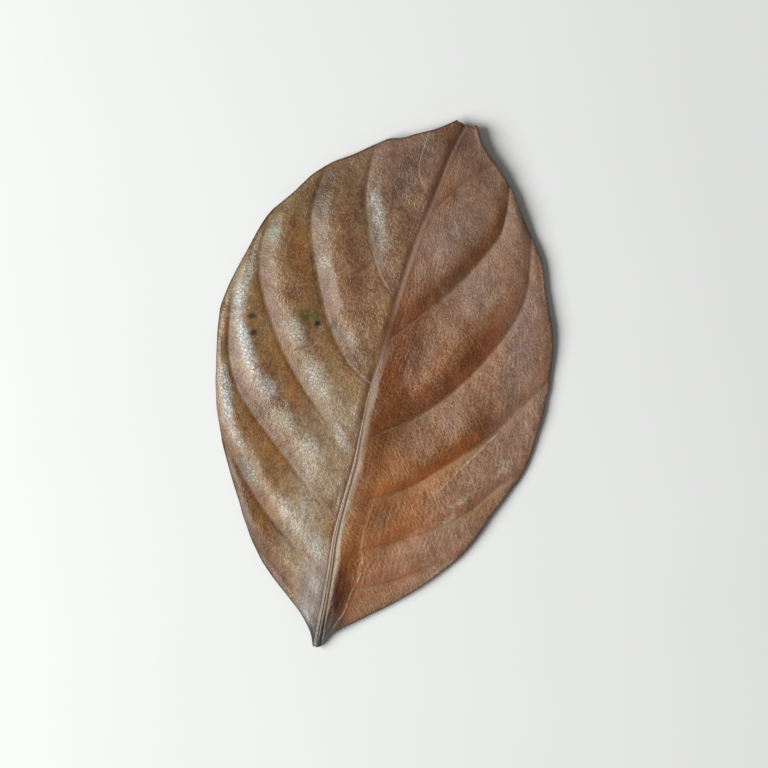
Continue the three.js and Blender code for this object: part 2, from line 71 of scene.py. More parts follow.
VEINS_LEFT = [
  [
    [-1.9, 9.5], [-7.7, 13.3], [-13.9, 16.3], [-20.0, 19.6], [-25.6, 23.7],
  ],
  [
    [-1.6, 16.4], [-7.6, 20.6], [-13.6, 24.8], [-19.7, 28.8], [-25.6, 33.1], [-31.1, 38.0], [-36.2, 43.2],
    [-41.3, 48.4],
  ],
  [
    [-4.3, 34.8], [-10.1, 38.8], [-16.0, 42.5], [-21.6, 46.7], [-27.2, 50.9], [-32.8, 55.1], [-38.2, 59.5],
    [-42.7, 64.9], [-45.8, 71.2], [-47.7, 77.9], [-49.0, 84.8], [-50.5, 91.6],
  ],
  [
    [-5.3, 55.1], [-11.2, 58.7], [-16.9, 62.4], [-22.4, 66.5], [-27.4, 71.2], [-32.2, 76.1], [-36.3, 81.5],
    [-40.1, 87.2], [-43.3, 93.2], [-45.3, 99.8], [-45.5, 106.6], [-44.5, 113.4],
  ],
  [
    [-5.6, 73.7], [-12.1, 77.0], [-17.6, 81.8], [-22.2, 87.4], [-26.0, 93.7], [-29.3, 100.2], [-32.4, 106.8],
    [-34.5, 113.9], [-34.7, 121.1], [-34.0, 128.4],
  ],
  [
    [-4.2, 97.8], [-9.7, 101.4], [-13.7, 106.6], [-17.1, 112.2], [-20.0, 118.0], [-21.9, 124.3],
    [-22.6, 130.8], [-23.1, 137.3],
  ],
  [
    [-4.4, 119.2], [-10.0, 123.0], [-14.6, 127.8], [-16.7, 134.0], [-17.2, 140.7],
  ],
  [
    [-3.8, 126.9], [-7.4, 130.4], [-9.6, 135.0], [-9.8, 140.1], [-9.6, 145.2],
  ],
]
VEINS_RIGHT = [
  [
    [-0.9, 12.0], [3.9, 16.4], [9.3, 20.0], [14.9, 23.3], [20.2, 27.0], [25.2, 31.1], [30.6, 34.6],
  ],
  [
    [-1.9, 24.4], [4.0, 28.6], [10.3, 32.1], [16.2, 36.2], [22.2, 40.1], [27.6, 44.9], [32.2, 50.5],
    [36.1, 56.6], [41.1, 61.7],
  ],
  [
    [-2.6, 39.6], [3.2, 43.0], [8.8, 46.7], [13.9, 51.0], [18.4, 55.9], [22.9, 60.8], [27.4, 65.7],
    [31.5, 71.0], [34.8, 76.8], [37.7, 82.8], [41.1, 88.6],
  ],
  [
    [-3.4, 57.1], [1.7, 62.2], [7.1, 66.9], [11.9, 72.2], [16.4, 77.8], [20.0, 84.0], [23.3, 90.3],
    [25.9, 97.0], [28.0, 103.8], [28.3, 111.0], [27.1, 118.0], [25.4, 125.0],
  ],
  [
    [-4.4, 86.3], [0.0, 91.9], [3.8, 97.8], [7.8, 103.6], [11.3, 109.7], [14.3, 116.0], [16.9, 122.6],
    [17.0, 129.6], [15.8, 136.5],
  ],
  [
    [-4.5, 118.4], [-1.8, 124.7], [1.7, 130.7], [5.7, 136.3], [10.4, 141.3],
  ],
]
GUIDES_LEFT = [
  (0, [
    [-0.1, 1.8], [-1.5, 2.9], [-3.0, 3.9],
  ] ),
  (0, [
    [-0.8, 5.2], [-5.4, 7.8], [-10.1, 10.1],
  ] ),
  (2, [
    [-2.8, 25.5], [-11.0, 30.4], [-18.9, 35.8], [-26.4, 41.8], [-33.4, 48.3], [-39.9, 55.3], [-45.3, 63.3],
    [-49.4, 71.9],
  ] ),
]
GUIDES_RIGHT = [
  (0, [
    [-0.1, 1.8], [1.0, 2.1], [1.9, 2.8],
  ] ),
  (0, [
    [-0.6, 5.6], [3.0, 6.8], [6.5, 8.0],
  ] ),
]
TIP_LEFT = [-3.1, 150.2]
TIP_MID = [-0.8, 149.7]
TIP_RIGHT = [2.4, 150.2]
CREASE = [
  [3.2, 5.8], [4.8, 13.7], [5.8, 21.7], [4.5, 29.6], [3.8, 37.6], [4.1, 45.6], [4.8, 53.7], [5.3, 61.7],
  [4.1, 69.6], [2.5, 77.5], [1.9, 85.6],
]

# ---------------------------------------------------------------- the blade's broad form (as in the solid)
FORM_ACROSS = np.array([-48, -32, -16, 0, 16, 32, 44.0])
FORM_ALONG = np.array([0, 0.17, 0.33, 0.5, 0.67, 0.83, 1.0])
FORM = np.array([
    [-4.0, -1.2, 1.0, 1.8, 1.8, 0.9, -1.0],
    [-1.4, 0.9, 2.6, 3.4, 3.5, 3.0, 1.8],
    [0.3, 2.4, 3.9, 4.3, 4.4, 4.0, 3.4],
    [1.3, 3.2, 4.5, 5.0, 5.0, 4.6, 3.7],
    [0.7, 2.8, 4.0, 4.3, 4.4, 4.1, 3.4],
    [-0.2, 2.0, 3.5, 3.9, 3.9, 3.3, 2.0],
    [-2.0, 0.4, 2.2, 3.0, 3.0, 2.0, 0.4],
])
RELIEF_VEINS = 6
BULGE = {-1: [0.5, 1.0, 1.35, 1.5, 1.4, 1.25, 0.7], 1: [0.5, 0.7, 1.2, 2.1, 2.4, 2.1, 0.9]}
DROP = {-1: [0, 0.8, 1.4, 1.5, 1.5, 1.2, 0.3], 1: [0, 0.7, 1.1, 1.5, 1.5, 1.3, 0.3]}
HELD, HELD_WIDTH = {-1: 0.6, 1: 0.3}, {-1: 9.0, 1: 28.0}
PEAK = {-1: [0.5, 0.46, 0.44, 0.42, 0.38, 0.32, 0.28], 1: [0.4, 0.4, 0.4, 0.4, 0.4, 0.4, 0.4]}
FOLD_AT, FOLD = [0, 1.0, 2.0, 5.0, 8.0, 13.0, 28.0, 60.0], [0, 0.35, 0.5, 0.1, -0.3, -0.3, 0, 0]
ONSET = {-1: (1.5, 14.5), 1: (3.0, 20.0)}
THREAD = [[3.0, 6.2], [3.6, 8.5], [4.6, 11.6], [5.0, 17.2], [6.0, 22.1], [5.4, 27.0], [4.3, 29.2], [3.7, 34.2], [3.9, 38.5], [4.2, 45.6], [4.8, 53.7]]
SEAM = [[19.2, 48.5], [20.7, 51.2], [23.7, 56.7], [25.8, 60.4], [27.1, 62.5], [32.0, 71.4], [35.6, 78.7], [38.5, 83.8]]
MARGIN_ROLL, MARGIN_ROLL_WIDTH = 0.55, 2.6
BLADE, MARGIN = 0.5, 0.36
TIP_BEND_RADIUS, TIP_BEND_ANGLE, TIP_TAIL, TIP_END_WIDTH = 1.4, math.radians(112), 2.1, 1.0
LINE_PITCH = 0.69
COLUMNS = 144
NODES = 13
FRACTIONS = np.linspace(0, 1, NODES)


def smooth(a, b, x):
    t = np.clip((x - a) / (b - a), 0, 1)
    return t * t * (3 - 2 * t)


def mix(a, b, t):
    return a + (b - a) * t


def hermite(y0, y1, m0, m1, h, t):
    return ((2 * t**3 - 3 * t * t + 1) * y0 + (t**3 - 2 * t * t + t) * h * m0
            + (3 * t * t - 2 * t**3) * y1 + (t**3 - t * t) * h * m1)


def slopes(x, y, monotone):
    """Slopes at the knots x of the rows of y (knots on the last axis)."""
    h = np.diff(x)
    d = np.diff(y, axis=-1) / h
    m = np.empty_like(y, dtype=float)
    m[..., 0], m[..., -1] = d[..., 0], d[..., -1]
    a, b = d[..., :-1], d[..., 1:]
    if monotone:
        w1, w2 = 2 * h[1:] + h[:-1], h[1:] + 2 * h[:-1]
        ok = a * b > 0
        m[..., 1:-1] = np.where(ok, (w1 + w2) / (w1 / np.where(ok, a, 1) + w2 / np.where(ok, b, 1)), 0)
    else:
        m[..., 1:-1] = (a * h[1:] + b * h[:-1]) / (h[1:] + h[:-1])
    return m


def curve(x, y, v, monotone=True):
    """Smooth curves through the knots: y has shape (..., knots), v any shape; the result is y's rows at v."""
    x, y = np.asarray(x, float), np.asarray(y, float)
    m = slopes(x, y, monotone)
    i = np.clip(np.searchsorted(x, v) - 1, 0, len(x) - 2)
    h = np.diff(x)[i]
    return hermite(y[..., i], y[..., i + 1], m[..., i], m[..., i + 1], h, (v - x[i]) / h)


def curve_rows(x, y, v, monotone=True):
    """Row k of y (rows, knots) at row k of v (rows, n)."""
    m = slopes(x, y, monotone)
    i = np.clip(np.searchsorted(x, v) - 1, 0, len(x) - 2)
    h = np.diff(x)[i]
    take = lambda a, k: np.take_along_axis(a, k, -1)
    return hermite(take(y, i), take(y, i + 1), take(m, i), take(m, i + 1), h, (v - x[i]) / h)


class Line:
    """A smooth curve through control points, kept as a fine polyline with its arc length."""

    def __init__(self, points, steps=12):
        p = np.asarray(points, float)
        p = np.vstack([2 * p[0] - p[1], p, 2 * p[-1] - p[-2]])
        t = (np.arange(steps) / steps)[:, None]
        out = []
        for i in range(1, len(p) - 2):
            a, b, c, d = p[i - 1:i + 3]
            out.append(0.5 * (2 * b + (c - a) * t + (2 * a - 5 * b + 4 * c - d) * t**2 + (3 * b - a - 3 * c + d) * t**3))
        self.p = np.vstack(out + [p[-2:-1]])
        arc = np.r_[0, np.cumsum(np.hypot(*np.diff(self.p, axis=0).T))]
        self.length, self.u = arc[-1], arc / arc[-1]

    def at(self, u):
        return np.stack([np.interp(u, self.u, self.p[:, 0]), np.interp(u, self.u, self.p[:, 1])], -1)

    def near(self, q, pitch=0.35):
        """Distance and arc fraction of the closest point, for points q (..., 2)."""
        n = max(8, int(self.length / pitch))
        u = np.linspace(0, 1, n + 1)
        p = self.at(u).astype(np.float32)
        flat = q.reshape(-1, 2).astype(np.float32)
        d, v = np.empty(len(flat)), np.empty(len(flat))
        for k in range(0, len(flat), 6000):
            w = flat[k:k + 6000]
            i = np.argmin((w[:, None, 0] - p[None, :, 0])**2 + (w[:, None, 1] - p[None, :, 1])**2, axis=1)
            best, bu = np.full(len(w), np.inf), np.zeros(len(w))
            for j in (np.maximum(i - 1, 0), np.minimum(i, n - 1)):
                a, b = p[j], p[j + 1]
                e = b - a
                t = np.clip(((w - a) * e).sum(1) / np.maximum((e * e).sum(1), 1e-12), 0, 1)
                r = np.hypot(*(w - a - t[:, None] * e).T)
                bu = np.where(r < best, u[j] + t * (u[j + 1] - u[j]), bu)
                best = np.minimum(best, r)
            d[k:k + 6000], v[k:k + 6000] = best, bu
        return d.reshape(q.shape[:-1]), v.reshape(q.shape[:-1])


def lattice(x, y, seed):
    """Smooth random heights from -1 to 1 on a unit lattice, the same on every run."""
    def corner(i, j):
        n = (i.astype(np.int64) * 374761393 + j.astype(np.int64) * 668265263 + seed * 974711) & 0xFFFFFFFF
        n = ((n ^ (n >> 13)) * 1274126177) & 0xFFFFFFFF
        return ((n ^ (n >> 16)) & 0xFFFF) / 32767.5 - 1
    i, j = np.floor(x), np.floor(y)
    u, v = x - i, y - j
    u, v = u**3 * (u * (6 * u - 15) + 10), v**3 * (v * (6 * v - 15) + 10)
    i, j = i.astype(int), j.astype(int)
    return mix(mix(corner(i, j), corner(i + 1, j), u), mix(corner(i, j + 1), corner(i + 1, j + 1), u), v)


midrib = Line(MIDRIB)


class Half:
    """One half of the blade: lines from the midrib to the margin that follow the side veins."""

    def __init__(self, side, edge, veins, guides):
        self.side, self.edge = side, Line(edge)
        self.t, self.e = [0.0], [0.0]
        self.a, self.b = [FRACTIONS], [0 * FRACTIONS]
        vein_t = []
        for i, vein in enumerate(veins):
            for before, line in guides:
                if before == i:
                    self.add(line)
            vein_t.append(self.add(vein))
        self.t, self.e = np.array(self.t + [1.0]), np.array(self.e + [1.0])
        self.a, self.b = np.array(self.a + [FRACTIONS]), np.array(self.b + [0 * FRACTIONS])
        self.panel_t = np.array([0.0] + vein_t[:RELIEF_VEINS] + [1.0])
        self.veins = [Line(v) for v in veins]

    def add(self, points):
        p = np.array(points, float)
        t = float(midrib.near(p[:1])[1][0])
        e = float(self.edge.near(p[-1:])[1][0])
        p[0], p[-1] = midrib.at(t), self.edge.at(e)
        q = Line(p).at(FRACTIONS) - p[0]
        c = p[-1] - p[0]
        self.t.append(t)
        self.e.append(e)
        self.a.append(q @ c / (c @ c))
        self.b.append((q[:, 1] * c[0] - q[:, 0] * c[1]) / (c @ c))
        return t

    def lines(self, t, s):
        """Points at fractions s (len(t), n) of the lines that leave the midrib at stations t."""
        m, e = midrib.at(t), self.edge.at(curve(self.t, self.e, t))
        a = curve_rows(FRACTIONS, curve(self.t, self.a.T, t).T, s)
        b = curve_rows(FRACTIONS, curve(self.t, self.b.T, t).T, s)
        c = (e - m)[:, None]
        return m[:, None] + a[..., None] * c + b[..., None] * np.stack([-c[..., 1], c[..., 0]], -1)

    def surface(self, t, s):
        xy = self.lines(t, s)
        dm, tm = midrib.near(xy)
        de, te = self.edge.near(xy)
        form = curve(FORM_ALONG, FORM, tm, monotone=False)
        form = np.moveaxis(form, 0, -1).reshape(-1, len(FORM_ACROSS))
        z = curve_rows(FORM_ACROSS, form, (self.side * dm).reshape(-1, 1), monotone=False).reshape(dm.shape)
        k = np.clip(np.searchsorted(self.panel_t, t, side="right") - 1, 0, len(self.panel_t) - 2)
        f = ((t - self.panel_t[k]) / (self.panel_t[k + 1] - self.panel_t[k]))[:, None] + 0 * s
        low, high = self.lines(self.panel_t[k], s), self.lines(self.panel_t[k + 1], s)
        width = np.hypot(*np.moveaxis(high - low, -1, 0))
        p = np.array(PEAK[self.side])[k][:, None]
        g = np.where(f < p, 1 - np.maximum(1 - f / p, 0)**1.6, 1 - np.maximum((f - p) / (1 - p), 0)**1.7)
        uneven = 1 + 0.30 * lattice(xy[..., 0] / 13, xy[..., 1] / 13, 11) + 0.18 * lattice(xy[..., 0] / 6, xy[..., 1] / 6, 12)
        z += (np.array(BULGE[self.side])[k][:, None] * np.tanh(0.16 * width / 1.8) * g * uneven
              * smooth(*ONSET[self.side], dm) * mix(HELD[self.side], 1, smooth(0, HELD_WIDTH[self.side], de)))
        z -= curve(FORM_ALONG, DROP[self.side], tm) * smooth(*ONSET[self.side], dm)
        if self.side > 0:
            z += curve(FOLD_AT, FOLD, dm) * smooth(0.03, 0.1, tm) * (1 - smooth(0.51, 0.58, tm))
        z -= (MARGIN_ROLL * (0.5 if self.side > 0 else 1) * (1 - smooth(0, MARGIN_ROLL_WIDTH, de))**2 * smooth(0.02, 0.06, tm)
              * (1 - smooth(0.93, 1, tm)))
        seg = np.hypot(*np.moveaxis(np.diff(xy, axis=1), -1, 0))
        along = np.concatenate([np.zeros((len(t), 1)), np.cumsum(seg, axis=1)], axis=1)
        dv, uv = np.full(dm.shape, 99.0), np.zeros(dm.shape)
        for i, v in enumerate(self.veins):
            d, u = v.near(xy)
            fine = 1.0 if i < RELIEF_VEINS else 1.6
            uv = np.where(d * fine < dv, u, uv)
            dv = np.minimum(dv, d * fine)
        return dict(xy=xy, z=z, dm=dm, tm=tm, de=de, te=te, f=f, panel=k[:, None] + 0 * s, width=width, along=along,
                    dv=dv, uv=uv, s=s)


left = Half(-1, EDGE_LEFT, VEINS_LEFT, GUIDES_LEFT)
right = Half(1, EDGE_RIGHT, VEINS_RIGHT, GUIDES_RIGHT)


def stations():
    """Mesh lines along the leaf: one on every vein of either half, an even number of steps in all."""
    knots = np.unique(np.r_[0, 1, left.panel_t, right.panel_t])
    out = [0.0]
    for a, b in zip(knots[:-1], knots[1:]):
        edge = [h.edge.length * np.diff(curve(h.t, h.e, np.array([a, b])))[0] for h in (left, right)]
        n = max(2, 2 * round((0.5 * (b - a) * midrib.length + 0.25 * sum(edge)) / LINE_PITCH / 2))
        out += list(np.linspace(a, b, n + 1)[1:])
    return np.array(out)


def fractions(length):
    """Fractions of the columns on lines of these lengths: closer together at the midrib and at the margin."""
    out = []
    for n in length:
        d = np.linspace(0, n, 400)
        c = d + 2.2 * 1.2 * (1 - np.exp(-d / 1.2)) + np.exp(-(n - d)) - np.exp(-n)
        out.append(np.interp(np.linspace(0, c[-1], COLUMNS + 1), c, d / n))
    return np.array(out)


T = stations()
parts = []
for h in (left, right):
    length = np.hypot(*(h.edge.at(curve(h.t, h.e, T)) - midrib.at(T)).T)
    parts.append(h.surface(T, fractions(length)))
seam = 0.5 * (parts[0]["z"][:, 0] + parts[1]["z"][:, 0])
parts[0]["z"][:, 0] = parts[1]["z"][:, 0] = seam
G = {k: np.concatenate([parts[0][k][:, :0:-1], parts[1][k]], axis=1) for k in parts[0]}
side = np.sign(np.arange(2 * COLUMNS + 1) - COLUMNS)[None, :] + 0 * G["s"]
P = np.dstack([G["xy"], G["z"]])

# the tip: rows that follow the bend, narrowing to a blunt end
BEND_ROWS, TAIL_ROWS = 18, 8
start, axis0 = P[-1], P[-1, COLUMNS]
corner = np.where(side[-1][:, None] < 0, np.array(TIP_LEFT), np.array(TIP_RIGHT))
fold = mix(np.array(TIP_MID), corner, G["s"][-1][:, None])
ahead = np.array(TIP_MID) - axis0[:2]
reach = np.hypot(*ahead)
past = TIP_BEND_RADIUS * (TIP_BEND_ANGLE - math.pi / 2) + TIP_TAIL
fold_width = math.dist(TIP_LEFT, TIP_RIGHT)
tip_rows, tip_taper = [], []
for k in range(1, BEND_ROWS + TAIL_ROWS + 1):
    angle = TIP_BEND_ANGLE * min(1, k / BEND_ROWS)
    tail = TIP_TAIL * max(0, (k - BEND_ROWS) / TAIL_ROWS)
    done = np.clip((TIP_BEND_RADIUS * (angle - math.pi / 2) + tail) / past, 0, 1)
    taper = mix(1, TIP_END_WIDTH / fold_width, done**1.3)
    q = mix(start[:, :2], fold, math.sin(angle))
    c = q[COLUMNS]
    q = c + (q - c) * taper + ahead * tail * math.cos(TIP_BEND_ANGLE) / reach
    z = start[:, 2] - TIP_BEND_RADIUS * (1 - math.cos(angle)) - tail * math.sin(TIP_BEND_ANGLE)
    tip_rows.append(np.column_stack([q, z]))
    tip_taper.append(taper)
P = np.concatenate([P, np.array(tip_rows)])
more = len(tip_rows)
for k in G:
    if k != "xy":
        G[k] = np.concatenate([G[k], np.repeat(G[k][-1:], more, axis=0)])
G["dm"][-more:] *= np.array(tip_taper)[:, None]
G["along"][-more:] *= np.array(tip_taper)[:, None]
side = np.concatenate([side, np.repeat(side[-1:], more, axis=0)])
ROWS, ACROSS = P.shape[:2]


def normals(p):
    n = np.cross(np.gradient(p, axis=1), np.gradient(p, axis=0))
    return n / np.maximum(np.linalg.norm(n, axis=-1, keepdims=True), 1e-12)


N = normals(P)
tm, dm, de, dv, uv, s = (G[k] for k in ("tm", "dm", "de", "dv", "uv", "s"))
root = np.sqrt(tm)
X, Y = P[..., 0], P[..., 1]

# fine relief of the upper face, in mm along the normal
blade = smooth(0.6, 2.2, dm) * smooth(0, 1.2, de)
relief = 0.20 * lattice(X / 6.5, Y / 6.5, 1) + 0.13 * lattice(X / 3.1, Y / 3.1, 2) + 0.06 * lattice(X / 1.5, Y / 1.5, 3)
wander = lattice(X / 4.0, Y / 4.0, 4)
rungs = np.sin(2 * np.pi * (G["along"] / 1.75 + 0.35 * wander + 1.2 * lattice(X / 11, Y / 11, 5)))
relief += np.where(side > 0, 0.035, 0.012) * rungs * smooth(0.5, 2.0, dv)
relief *= blade
vein_depth = 0.10 * (1 - 0.6 * uv) * smooth(0.4, 2.0, dm)
relief -= np.where(side > 0, 1.0, 0.6) * vein_depth * np.exp(-(dv / 0.4)**2)
half_rib = mix(0.85, 0.3, np.minimum(1, tm * 2.4))
low_part = 1 - smooth(0.35, 0.6, tm)
dome = np.sqrt(np.clip(1 - (dm / half_rib)**2, 0, 1))
relief += mix(0.30, 0.10, np.minimum(1, tm * 2.2)) * dome * low_part
groove = np.where(side > 0, 0.17, 0.09) * low_part + mix(0.05, 0.14, smooth(0.78, 0.9, tm)) * (1 - low_part)
relief -= groove * np.exp(-((dm - half_rib * 1.2 * low_part) / mix(0.24, 0.5, 1 - low_part))**2) * smooth(0.0, 0.03, tm)
relief -= 0.22 * np.exp(-(dm / 0.17)**2) * (1 - smooth(0.12, 0.3, tm)) * smooth(0.01, 0.04, tm)
thread_line = Line(THREAD)
seam_d, seam_u = Line(SEAM).near(P[..., :2])
thread_d, thread_u = thread_line.near(P[..., :2])
ahead_of = thread_line.at(np.minimum(thread_u + 0.01, 1)) - thread_line.at(np.maximum(thread_u - 0.01, 0))
offset = P[..., :2] - thread_line.at(thread_u)
thread_d = np.where(side > 0, np.sign(ahead_of[..., 0] * offset[..., 1] - ahead_of[..., 1] * offset[..., 0]), 1) * thread_d
thread = np.exp(-(thread_d / 0.28)**2) * (side > 0) * smooth(1.0, 0.55, thread_u)
seam = np.exp(-(seam_d / 0.35)**2) * (side > 0) * smooth(0.0, 0.1, seam_u) * smooth(1.0, 0.8, seam_u)
relief += 0.10 * thread + 0.10 * seam
top = P + N * relief[..., None]

# lower face on every second line: raised midrib, side veins and their small cross veins
sub = (slice(None, None, 2), slice(None, None, 2))
keel = mix(1.15, 0.3, root) * np.sqrt(np.clip(1 - (dm / (mix(1.05, 0.55, root) * 1.6))**2, 0, 1))
side_rib = 0.42 * (1 - smooth(0.3, 1, uv)) * np.exp(-(dv / mix(0.75, 0.4, uv))**2) * smooth(0.5, 2.5, dm)
depth = mix(MARGIN, BLADE, smooth(0, 3, de)) + np.maximum(keel, side_rib)
depth += 0.05 * np.clip(rungs, 0, 1) * smooth(0.8, 2.0, dv) * smooth(0.8, 3, dm) * smooth(0, 1.5, de)
low = (P - N * (depth - 0.5 * relief * (dm > half_rib))[..., None])[sub]
low_shape = low.shape[:2]

# rounded margin between them
rims = []
for col, inner in ((0, 1), (ACROSS - 1, ACROSS - 2)):
    out = top[:, col] - top[:, inner]
    n = N[:, col]
    out -= (out * n).sum(1, keepdims=True) * n
    out /= np.maximum(np.linalg.norm(out, axis=1, keepdims=True), 1e-9)
    r = 0.5 * MARGIN
    rims.append([top[:, col] + n * r * (math.cos(a) - 1) + out * r * 0.9 * math.sin(a)
                 for a in np.radians([35, 70, 105, 140])])

# ---------------------------------------------------------------- one closed mesh
n_top, n_low = ROWS * ACROSS, low_shape[0] * low_shape[1]
rim_at = [n_top + n_low, n_top + n_low + 4 * ROWS]
points = np.vstack([top.reshape(-1, 3), low.reshape(-1, 3)] + [np.vstack(r) for r in rims])
tid = np.arange(n_top).reshape(ROWS, ACROSS)
lid = n_top + np.arange(n_low).reshape(low_shape)
faces, kinds = [], []


def add(quads, kind):
    faces.append(quads)
    kinds.append(np.full(len(quads), kind))


def grid_quads(ids, flip=False):
    q = np.stack([ids[:-1, :-1], ids[:-1, 1:], ids[1:, 1:], ids[1:, :-1]], -1).reshape(-1, 4)
    return q[:, ::-1] if flip else q


def zipper(fine, coarse, flip=False):
    """Triangles between a line of 2n+1 points and one of n+1."""
    a, b, c = fine[:-1:2], fine[1::2], fine[2::2]
    p, q = coarse[:-1], coarse[1:]
    t = np.vstack([np.stack(x, -1) for x in ((a, b, p), (b, c, q), (b, q, p))])
    t = t[:, ::-1] if flip else t
    return np.column_stack([t, np.full(len(t), -1)])


add(grid_quads(tid), 0)
add(grid_quads(lid, True), 1)
for k, col in ((0, 0), (1, ACROSS - 1)):
    rows = [tid[:, col]] + [rim_at[k] + i * ROWS + np.arange(ROWS) for i in range(4)]
    strip = np.array(rows).T
    add(grid_quads(strip, k == 0), 2)
    add(zipper(rows[-1], lid[:, 0 if k == 0 else -1], k == 1), 2)
for row, lrow, flip in ((0, 0, True), (ROWS - 1, low_shape[0] - 1, False)):
    ends = [rim_at[0] + i * ROWS + row for i in range(4)], [rim_at[1] + i * ROWS + row for i in range(4)]
    add(zipper(tid[row], lid[lrow], flip), 2)
    for e, t_end, l_end, f2 in ((ends[0], tid[row, 0], lid[lrow, 0], not flip), (ends[1], tid[row, -1], lid[lrow, -1], flip)):
        fan = [t_end] + list(e) + [l_end]
        tri = np.array([[l_end, fan[i], fan[i + 1]] for i in range(len(fan) - 2)])
        tri = tri[:, ::-1] if f2 else tri
        add(np.column_stack([tri, np.full(len(tri), -1)]), 2)
faces, kinds = np.vstack(faces), np.concatenate(kinds)

points = (points - ORIGIN) * 0.001
sizes = np.where(faces[:, 3] < 0, 3, 4)
flat = faces.reshape(-1)
flat = flat[flat >= 0]
mesh = bpy.data.meshes.new("leaf_skin")
mesh.vertices.add(len(points))
mesh.vertices.foreach_set("co", points.astype(np.float32).reshape(-1))
mesh.loops.add(len(flat))
mesh.loops.foreach_set("vertex_index", flat.astype(np.int32))
mesh.polygons.add(len(sizes))
mesh.polygons.foreach_set("loop_start", np.r_[0, np.cumsum(sizes)[:-1]].astype(np.int32))
mesh.polygons.foreach_set("loop_total", sizes.astype(np.int32))
mesh.polygons.foreach_set("material_index", kinds.astype(np.int32))
mesh.polygons.foreach_set("use_smooth", np.ones(len(sizes), bool))
mesh.update(calc_edges=True)
if mesh.validate():
    raise RuntimeError("the leaf's mesh had faults")
print("triangles", int((sizes - 2).sum()), "rows", ROWS, "columns", ACROSS)


def attribute(name, value):
    """A number at each point, for the materials: given on the upper face's grid."""
    v = np.concatenate([value.reshape(-1), value[sub].reshape(-1)] + [np.tile(value[:, c], 4) for c in (0, ACROSS - 1)])
    a = mesh.attributes.new(name, "FLOAT", "POINT")
    a.data.foreach_set("value", v.astype(np.float32))


leaf = bpy.data.objects.new("leaf_blade", mesh)
bpy.context.scene.collection.objects.link(leaf)

# ---------------------------------------------------------------- numbers at the points for the materials
step = np.linalg.norm(np.diff(P, axis=0), axis=-1)
across = np.concatenate([np.zeros((1, ACROSS)), np.cumsum(step, axis=0)])
attribute("dm", side * dm)
attribute("tm", tm)
attribute("de", de)
attribute("dv", dv)
attribute("uv", uv)
attribute("panel_f", G["f"])
attribute("along", G["along"])
attribute("across", across)
LX, LY = P[..., 0], P[..., 1]


def stain(*spots):
    """A soft mask made of a few given blurred ellipses: x, y, half-length, half-width, angle in degrees, strength."""
    out = np.zeros_like(LX)
    for x, y, a, b, angle, strength in spots:
        c, k = math.cos(math.radians(angle)), math.sin(math.radians(angle))
        u, v = (LX - x) * c + (LY - y) * k, (LY - y) * c - (LX - x) * k
        out = 1 - (1 - out) * (1 - strength * np.exp(-((u / a)**2 + (v / b)**2)))
    return out


def blend(*spots):
    """The same with signed strengths that add up."""
    return sum(q[5] * stain(q[:5] + (1.0,)) for q in spots)


lefthand, righthand = smooth(1.0, -1.0, side * dm), smooth(-1.0, 1.0, side * dm)
attribute("left", lefthand)
attribute("thread", thread_d)
attribute("thread_u", thread_u)
attribute("seam", seam)
lowright = righthand * smooth(0.55, 0.2, tm) * smooth(40, 8, dm)
# how strongly the painted sheen shows on each half, weaker in the lower right
sheen_amount_right = mix(0.9, 0.45, lowright) * smooth(6, 17, dm)
sheen_amount_left = mix(mix(0.55, 0.9, smooth(0.62, 0.25, tm)), 0.95, smooth(16, 5, de) * smooth(0.75, 0.5, tm))
attribute("sheen_amount", np.where(side < 0, sheen_amount_left, sheen_amount_right))
crest = 0.9 + 0.8 * smooth(0.05, 0.2, tm)
attribute("strip", righthand * smooth(crest + 0.9, crest - 0.3, dm) * smooth(0.2, 0.6, dm) * smooth(0.03, 0.08, tm)
          * (0.95 - 0.3 * smooth(0.25, 0.36, tm) - 0.65 * smooth(0.50, 0.53, tm)))
# a pinkish-grey tint over the outer right half and the top: partly the leaf's own colour, partly painted sheen
attribute("mauve_sheen", np.maximum(righthand * np.maximum(smooth(22, 5, de) * 0.9, 0.75 * smooth(0.58, 0.74, tm)) * mix(1, 0.55, smooth(0.35, 0.15, tm)),
                               0.8 * smooth(0.75, 0.94, tm)))
# a pale tan on the inner left half below the middle: painted sheen
attribute("tan", lefthand * smooth(24, 8, dm) * smooth(0.62, 0.38, tm) * smooth(0.4, 1.6, dm))
attribute("lowright", lowright)
attribute("dull", lefthand * smooth(15, 6, de) * smooth(0.42, 0.30, tm) * smooth(0.05, 0.12, tm))
attribute("olive", lefthand * smooth(14, 1, de) * smooth(0.45, 0.62, tm) * smooth(0.92, 0.78, tm))
# a pale lilac-grey at the base of the left half: partly the leaf's own colour, partly painted sheen on the slope that
# faces the light
attribute("lavender_sheen", lefthand * (1 - smooth(0.04, 0.26, tm)) * 0.95 * smooth(11, 5, dm))
# a dark red-brown at the base of the right half: partly the leaf's own colour, partly painted shade on the slope that
# faces away from the light
attribute("maroon_shade", righthand * (1 - smooth(0.10, 0.22, tm)) * smooth(9, 2, dm))
